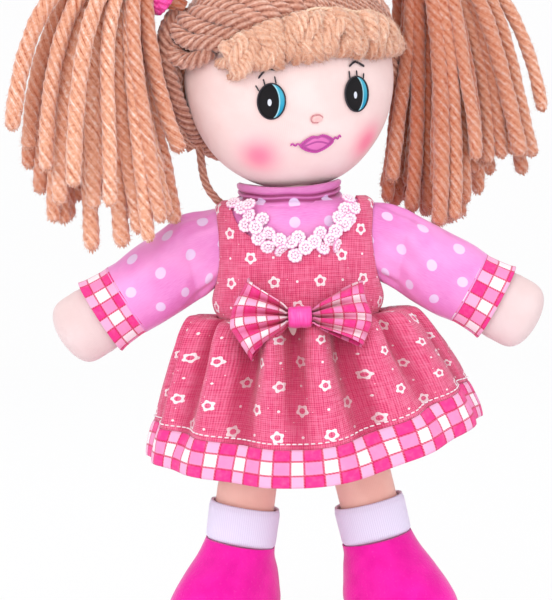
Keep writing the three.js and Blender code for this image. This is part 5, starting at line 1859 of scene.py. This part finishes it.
def make_tie(side):
    """A gathered satin band round the bunch's root."""
    word = SIDE_WORDS[side]
    angle = around(120)[None, :]
    wide = np.linspace(-1, 1, 26)[:, None]
    folds = 0.5 * np.cos(17 * angle + 3 * wide) + 0.3 * np.cos(29 * angle - 2 * wide)
    radius = mix(CORE_RADIUS + 1.6, TIE_OUTER_RADIUS, np.sqrt(np.clip(1 - wide ** 2, 0, 1))) + folds
    away, across, over = tie_frame(side)
    middle = away * (ROOT_REACH + TIE_FROM_ROOT)
    ring = (np.cos(angle) * radius)[..., None] * across + (np.sin(angle) * radius)[..., None] * over
    grid = middle + ring + (wide * TIE_WIDTH / 2 + 0 * angle)[..., None] * away
    tie = walled(lofted(f"satin_tie_{word}", turned(grid, HEAD_FRAME), HOT_SATIN, measured_uv(grid)), 1)
    handed(tie, f"pigtail_{word}", "ribbon_satin", f"hair_tie_{word}")


# Arms

ARM_SEAM_X = TORSO_HALF_WIDTH + BLOUSE_GROWTH + GAP + SEAM_RADIUS


def arm_size(share):
    """Half height and half depth of the arm at a share of its length."""
    places, high, deep = np.array(ARM_ROW_SHARES).T
    return ARM_HALF_HEIGHT * smooth_at(places, high, share), ARM_HALF_DEPTH * smooth_at(places, deep, share)


def arm_rings(side, along, half_height, half_depth, columns=96):
    """Rings round the arm at distances along it from the shoulder seam."""
    along = np.asarray(along, float)[:, None]
    tilt = np.clip(along / (ARM_LENGTH * ARM_TILT_SHARE), 0, 1) * ARM_DROOP
    up, deep = oval(around(columns)[None, :], np.asarray(half_height)[:, None],
                    np.asarray(half_depth)[:, None], ARM_SQUARENESS)
    return stacked(side * (ARM_SEAM_X + along * math.cos(ARM_DROOP) + up * np.sin(tilt)), deep,
                   SHOULDER_HEIGHT - along * math.sin(ARM_DROOP) + up * np.cos(tilt))


def armhole_ring(side, columns):
    """The sleeve's sewn end, lying on the blouse round the armhole."""
    up, deep = oval(around(columns), SLEEVE_SEAM_HALF_HEIGHT, SLEEVE_SEAM_HALF_DEPTH, ARM_SQUARENESS)
    z = SHOULDER_HEIGHT + up
    wide, thick = torso_size(z, BLOUSE_GROWTH)
    room = 1 - np.minimum(np.abs(deep) / thick, 0.99) ** TORSO_SQUARENESS
    return stacked(side * wide * room ** (1 / TORSO_SQUARENESS), deep, z)


def make_arm(side):
    """A stuffed arm that ends in a rounded mitten hand."""
    word = SIDE_WORDS[side]
    rounding = 0.85 + 0.15 * np.sin(np.linspace(0, ROUND_OVER, 16))[1:]
    share = np.concatenate([np.linspace(0.05, 0.85, 40), rounding])
    high, deep = arm_size(np.minimum(share, 0.995))
    tip = np.sqrt(np.clip(1 - np.clip((share - 0.84) / 0.16, 0, 1) ** 3.4, 0.0004, 1))
    high = np.where(share > HAND_SHARE, ARM_HALF_HEIGHT * 0.97 * tip, high)
    deep = np.where(share > HAND_SHARE, ARM_HALF_DEPTH * 0.94 * tip, deep)
    grid = arm_rings(side, share * ARM_LENGTH, high, deep)
    grid += 0.25 * unevenness(grid, 26, 41 + side)[..., None] * [0, 1, 0.4]
    arm = lofted(f"stuffed_arm_{word}", grid, LIMB_SKIN, measured_uv(grid), capped=True)
    handed(arm, f"arm_{word}", "skin_cloth", f"arm_{word}")


def make_sleeve(side):
    """A satin sleeve, sewn round the armhole, shaped on the torso at its seam and along the arm beyond."""
    word = SIDE_WORDS[side]
    columns = 144
    share = np.linspace(SLEEVE_FULL_SHARE, SLEEVE_END_SHARE, 44)
    high, deep = arm_size(share)
    grid = arm_rings(side, share * ARM_LENGTH, high + SLEEVE_EASE, deep + SLEEVE_EASE, columns)
    run = np.linspace(0, 1, 10)[:-1, None, None]
    grid = np.concatenate([mix(armhole_ring(side, columns), grid[0], run), grid])
    share = np.concatenate([run.ravel() * SLEEVE_FULL_SHARE, share])
    angle = around(columns)[None, :]
    near = np.exp(-share * 6)[:, None]
    folds = 1.3 * np.sin(6 * angle + 1.5) * near + 0.7 * np.sin(11 * angle + 20 * share[:, None]) * near
    facing = unit(grid - grid.mean(axis=1, keepdims=True))
    swell = 0.8 * unevenness(grid, 34, 51 + side) + folds
    swell = swell * np.interp(share, [0, 0.08, 0.5, SLEEVE_END_SHARE], [0, 1, 0.7, 0])[:, None]
    grid += facing * swell[..., None]
    sleeve = lofted(f"satin_sleeve_{word}", grid, DOTTED_SATIN, measured_uv(grid)[..., ::-1])
    sleeve = walled(sleeve, SATIN_WALL)
    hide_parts(f"sleeve_{word}")
    seam_x = side * ARM_SEAM_X * MM
    seam_x + side * SLEEVE_BEND * MM
    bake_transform(sleeve)


def make_cuff(side):
    word = SIDE_WORDS[side]
    run = np.linspace(0, 1, 18)
    share = np.linspace(SLEEVE_END_SHARE - 0.012, CUFF_END_SHARE, 18)
    high, deep = arm_size(share)
    ease = CUFF_EASE + CUFF_FLARE * run + 0.5 * bump_at(run, 0, 0.1) + 0.3 * bump_at(run, 1, 0.1)
    grid = arm_rings(side, share * ARM_LENGTH, high + ease, deep + ease, 120)
    cuff = walled(lofted(f"gingham_cuff_{word}", grid, CUFF_GINGHAMS[side], measured_uv(grid)), 1.1)
    handed(cuff, f"arm_{word}", "gingham", f"cuff_{word}")


# Legs, socks and shoes

def level_rings(x, z, half_width, half_depth, power, columns=80):
    """Level rings round a limb, from their middles across, heights and sizes."""
    x, z, half_width, half_depth = (np.asarray(row)[:, None] for row in (x, z, half_width, half_depth))
    u, v = oval(around(columns)[None, :], half_width, half_depth, power)
    return stacked(x + u, v, z + 0 * u)


def leg_x(side, z):
    return side * (HIP_X + math.tan(SPLAY[side]) * (HIP_HEIGHT - z))


def shoe_rings(side, up, half_length, half_width, forward, columns=96):
    turn = side * TOE_OUT
    toe = np.array([math.sin(turn), -math.cos(turn)])
    across = np.array([-toe[1], toe[0]])
    u, v = oval(around(columns)[None, :], np.asarray(half_width)[:, None], np.asarray(half_length)[:, None],
                SHOE_SQUARENESS)
    ahead = np.asarray(forward)[:, None] - v
    x = leg_x(side, np.asarray(up))[:, None] + toe[0] * ahead + across[0] * u
    return stacked(x, toe[1] * ahead + across[1] * u, np.asarray(up)[:, None])


def make_leg(side):
    """A stuffed leg from its flat seam under the torso down into the shoe."""
    word = SIDE_WORDS[side]
    over = np.linspace(0.2, math.pi / 2, 6)
    shaft = np.linspace(HIP_HEIGHT - 2, SHOE_TOP - LEG_SEAT_DEPTH, 44)
    z = np.concatenate([HIP_HEIGHT + SEAM_RADIUS * np.cos(over), shaft])
    down = np.clip((HIP_HEIGHT - z) / LEG_SWELL_LENGTH, 0, 1)
    wide = mix(HIP_SEAM_HALF_WIDTH, LEG_HALF_WIDTH, down)
    deep = mix(SEAM_RADIUS, LEG_HALF_DEPTH, np.sin(down * math.pi / 2))
    deep[:len(over)] = SEAM_RADIUS * np.sin(over)
    grid = level_rings(leg_x(side, z), z, wide, deep, LEG_SQUARENESS)
    grid += (0.25 * down[:, None] * unevenness(grid, 24, 61 + side))[..., None] * [1, 1, 0]
    leg = lofted(f"stuffed_leg_{word}", grid, LEG_SKIN, measured_uv(grid), capped=True)
    handed(leg, f"leg_{word}", "skin_cloth", f"leg_{word}")


def make_sock(side):
    word = SIDE_WORDS[side]
    run = np.linspace(0, 1, 22)
    z = mix(SHOE_TOP - 0.5, SOCK_TOP, run)
    ease = 1.1 + SOCK_WALL * np.interp(run, [0, 0.1, 0.85, 1], [0.2, 1, 1.2, 0.7])
    grid = level_rings(leg_x(side, z), z, LEG_HALF_WIDTH + ease, LEG_HALF_DEPTH + ease, LEG_SQUARENESS, 144)
    grid[..., 2] += ANKLE_TILT * side * (grid[..., 0] - leg_x(side, SHOE_TOP))
    sock = walled(lofted(f"knit_sock_{word}", grid, KNIT, measured_uv(grid)), SOCK_WALL)
    handed(sock, f"leg_{word}", "sock_knit", f"sock_{word}")


def make_shoe(side):
    """A stuffed felt foot, tucked in at the sole and open round the ankle."""
    word = SIDE_WORDS[side]
    bottom = SOLE_THICKNESS + GAP
    ups, long, wide, ahead = np.array(SHOE_ROW_SHARES).T
    run = np.concatenate([[0, 0.012, 0.03, 0.055], np.linspace(0.085, 1, 50)])
    least = LEG_HALF_WIDTH + GAP + SHOE_CUFF_WALL
    tuck = 1.6 * np.sqrt(np.clip(1 - run / 0.06, 0, 1))
    half_length = np.maximum(SHOE_HALF_LENGTH * smooth_at(ups, long, run), least) - tuck
    half_width = np.maximum(SHOE_HALF_WIDTH * smooth_at(ups, wide, run), least) - tuck
    grid = shoe_rings(side, bottom + run * (SHOE_TOP - bottom), half_length, half_width,
                      SHOE_FORWARD * smooth_at(ups, ahead, run))
    hub = grid[-1].mean(0)
    lip = [hub + (grid[-1] - hub) * share - [0, 0, SHOE_LIP_DEPTH * (1 - share) / (1 - SHOE_LIP_SHARE)]
           for share in np.linspace(1, SHOE_LIP_SHARE, 4)[1:]]
    grid = np.concatenate([grid, lip])
    rise = np.clip(grid[..., 2] / SHOE_TOP, 0, 1) ** 4
    grid[..., 2] += ANKLE_TILT * side * rise * (grid[..., 0] - leg_x(side, SHOE_TOP))
    grid += 0.3 * unevenness(grid, 26, 71 + side)[..., None] * [1, 1, 0]
    shoe = lofted(f"felt_shoe_{word}", grid, FELT, measured_uv(grid), capped=True)
    handed(shoe, f"leg_{word}", "shoe_felt", f"shoe_{word}")


def make_sole(side):
    """A flat felt oval, with its lower and upper edges taken off."""
    word = SIDE_WORDS[side]
    _, long, wide, _ = SHOE_ROW_SHARES[0]
    up = np.array([0, 0.15, 0.85, 1]) * SOLE_THICKNESS
    inset = SOLE_INSET + np.array([1.0, 0, 0, 0.8])
    grid = shoe_rings(side, up, SHOE_HALF_LENGTH * long - inset, SHOE_HALF_WIDTH * wide - inset,
                      np.full(4, SHOE_FORWARD))
    sole = lofted(f"felt_sole_{word}", grid, FELT, measured_uv(grid), capped=True)
    handed(sole, f"leg_{word}", "shoe_felt", f"sole_{word}")


# Floor, light and camera

def looked_at(graph):
    """1 where the camera, a reflection or clear glass sees the surface, and 0 where light only bounces."""
    seen = [graph.node("ShaderNodeLightPath", output=f"Is {kind} Ray")
            for kind in ("Camera", "Glossy", "Transmission")]
    return graph.capped(seen[0] + seen[1] + seen[2])


def pale_floor():
    """White that mostly glows by itself where it is looked at, so that only soft shadows show on it."""
    pale = bpy.data.materials.new("pale_floor")
    pale.use_nodes = True
    graph = Graph(pale.node_tree)
    shader = pale.node_tree.nodes["Principled BSDF"]
    shader.inputs["Base Color"].default_value = colour(246, 246, 250)
    shader.inputs["Roughness"].default_value = 0.9
    glow = graph.node("ShaderNodeEmission", {}, {"Color": colour(255, 255, 255), "Strength": 1.0})
    body = Socket(graph, shader.outputs[0])
    share = looked_at(graph) * FLOOR_GLOW_SHARE
    mixed = graph.node("ShaderNodeMixShader", {}, {0: share, 1: body, 2: glow})
    pale.node_tree.links.new(mixed.output, pale.node_tree.nodes["Material Output"].inputs[0])
    return pale


def make_stage():
    """A floor that bends up into a backdrop behind the doll."""
    profile = [(-FLOOR_REACH, 0)]
    for turn in np.linspace(0, math.pi / 2, 24):
        profile.append((BACKDROP_PLACE - BACKDROP_BEND * (1 - math.sin(turn)),
                        BACKDROP_BEND * (1 - math.cos(turn))))
    profile.append((BACKDROP_PLACE, BACKDROP_HEIGHT))
    points = [(x, y, z - FLOOR_DROP) for y, z in profile for x in (-FLOOR_REACH, FLOOR_REACH)]
    faces = [(2 * k, 2 * k + 1, 2 * k + 3, 2 * k + 2) for k in range(len(profile) - 1)]
    floor = placed("floor", new_mesh("floor", points, (), faces))
    floor.data.materials.append(pale_floor())


def make_light():
    world = bpy.data.worlds.new("studio")
    scene.world = world
    world.use_nodes = True
    graph = Graph(world.node_tree)
    world.node_tree.nodes["Background"].inputs["Color"].default_value = (0.97, 0.98, 1, 1)
    strength = looked_at(graph) * (1 - AMBIENT) + AMBIENT
    world.node_tree.links.new(strength.output, world.node_tree.nodes["Background"].inputs["Strength"])
    for name, place, size, power in LAMPS:
        data = bpy.data.lights.new(name, "AREA")
        data.size = size
        data.energy = power
        lamp = placed(name, data)
        lamp.location = place
        way = Vector((0, 0, LAMP_AIM_HEIGHT)) - lamp.location
        lamp.rotation_euler = way.to_track_quat("-Z", "Y").to_euler()


def make_camera():
    data = bpy.data.cameras.new("camera")
    data.sensor_width = SENSOR_WIDTH
    data.lens = SENSOR_WIDTH * FOCAL_PIXELS / PICTURE_HEIGHT
    data.shift_x = (PICTURE_WIDTH / 2 - AIM_PIXEL_X) / PICTURE_HEIGHT
    data.clip_start, data.clip_end = CAMERA_NEAR * MM, CAMERA_FAR * MM
    camera = placed("camera", data)
    back = np.array([0, -math.cos(CAMERA_ELEVATION), math.sin(CAMERA_ELEVATION)])
    up = np.array([0, math.sin(CAMERA_ELEVATION), math.cos(CAMERA_ELEVATION)])
    right = np.array([1.0, 0, 0])
    c, s = math.cos(CAMERA_ROLL), math.sin(CAMERA_ROLL)
    whole = np.eye(4)
    whole[:3, 0] = c * right - s * up
    whole[:3, 1] = s * right + c * up
    whole[:3, 2] = back
    whole[:3, 3] = (np.array([0, 0, AIM_HEIGHT]) + back * CAMERA_DISTANCE) * MM
    camera.matrix_world = Matrix(whole.tolist())
    scene.camera = camera


make_camera()
make_light()
make_stage()
make_torso()
make_blouse()
make_collar()
make_bodice()
make_skirt()
make_hem()
make_stitching()
make_lace()
make_bow()
make_knot()
make_head()
make_neck()
for doll_side in SIDES:
    make_eye(doll_side)
make_nose()
make_mouth()
hair_maker = np.random.default_rng(21)
make_cap(hair_maker)
make_fringe(hair_maker)
for doll_side in SIDES:
    for make in (make_pigtail, make_tie, make_arm, make_sleeve, make_cuff, make_leg, make_sock, make_shoe,
                 make_sole):
        make(doll_side)

scene.view_settings.view_transform = "Standard"
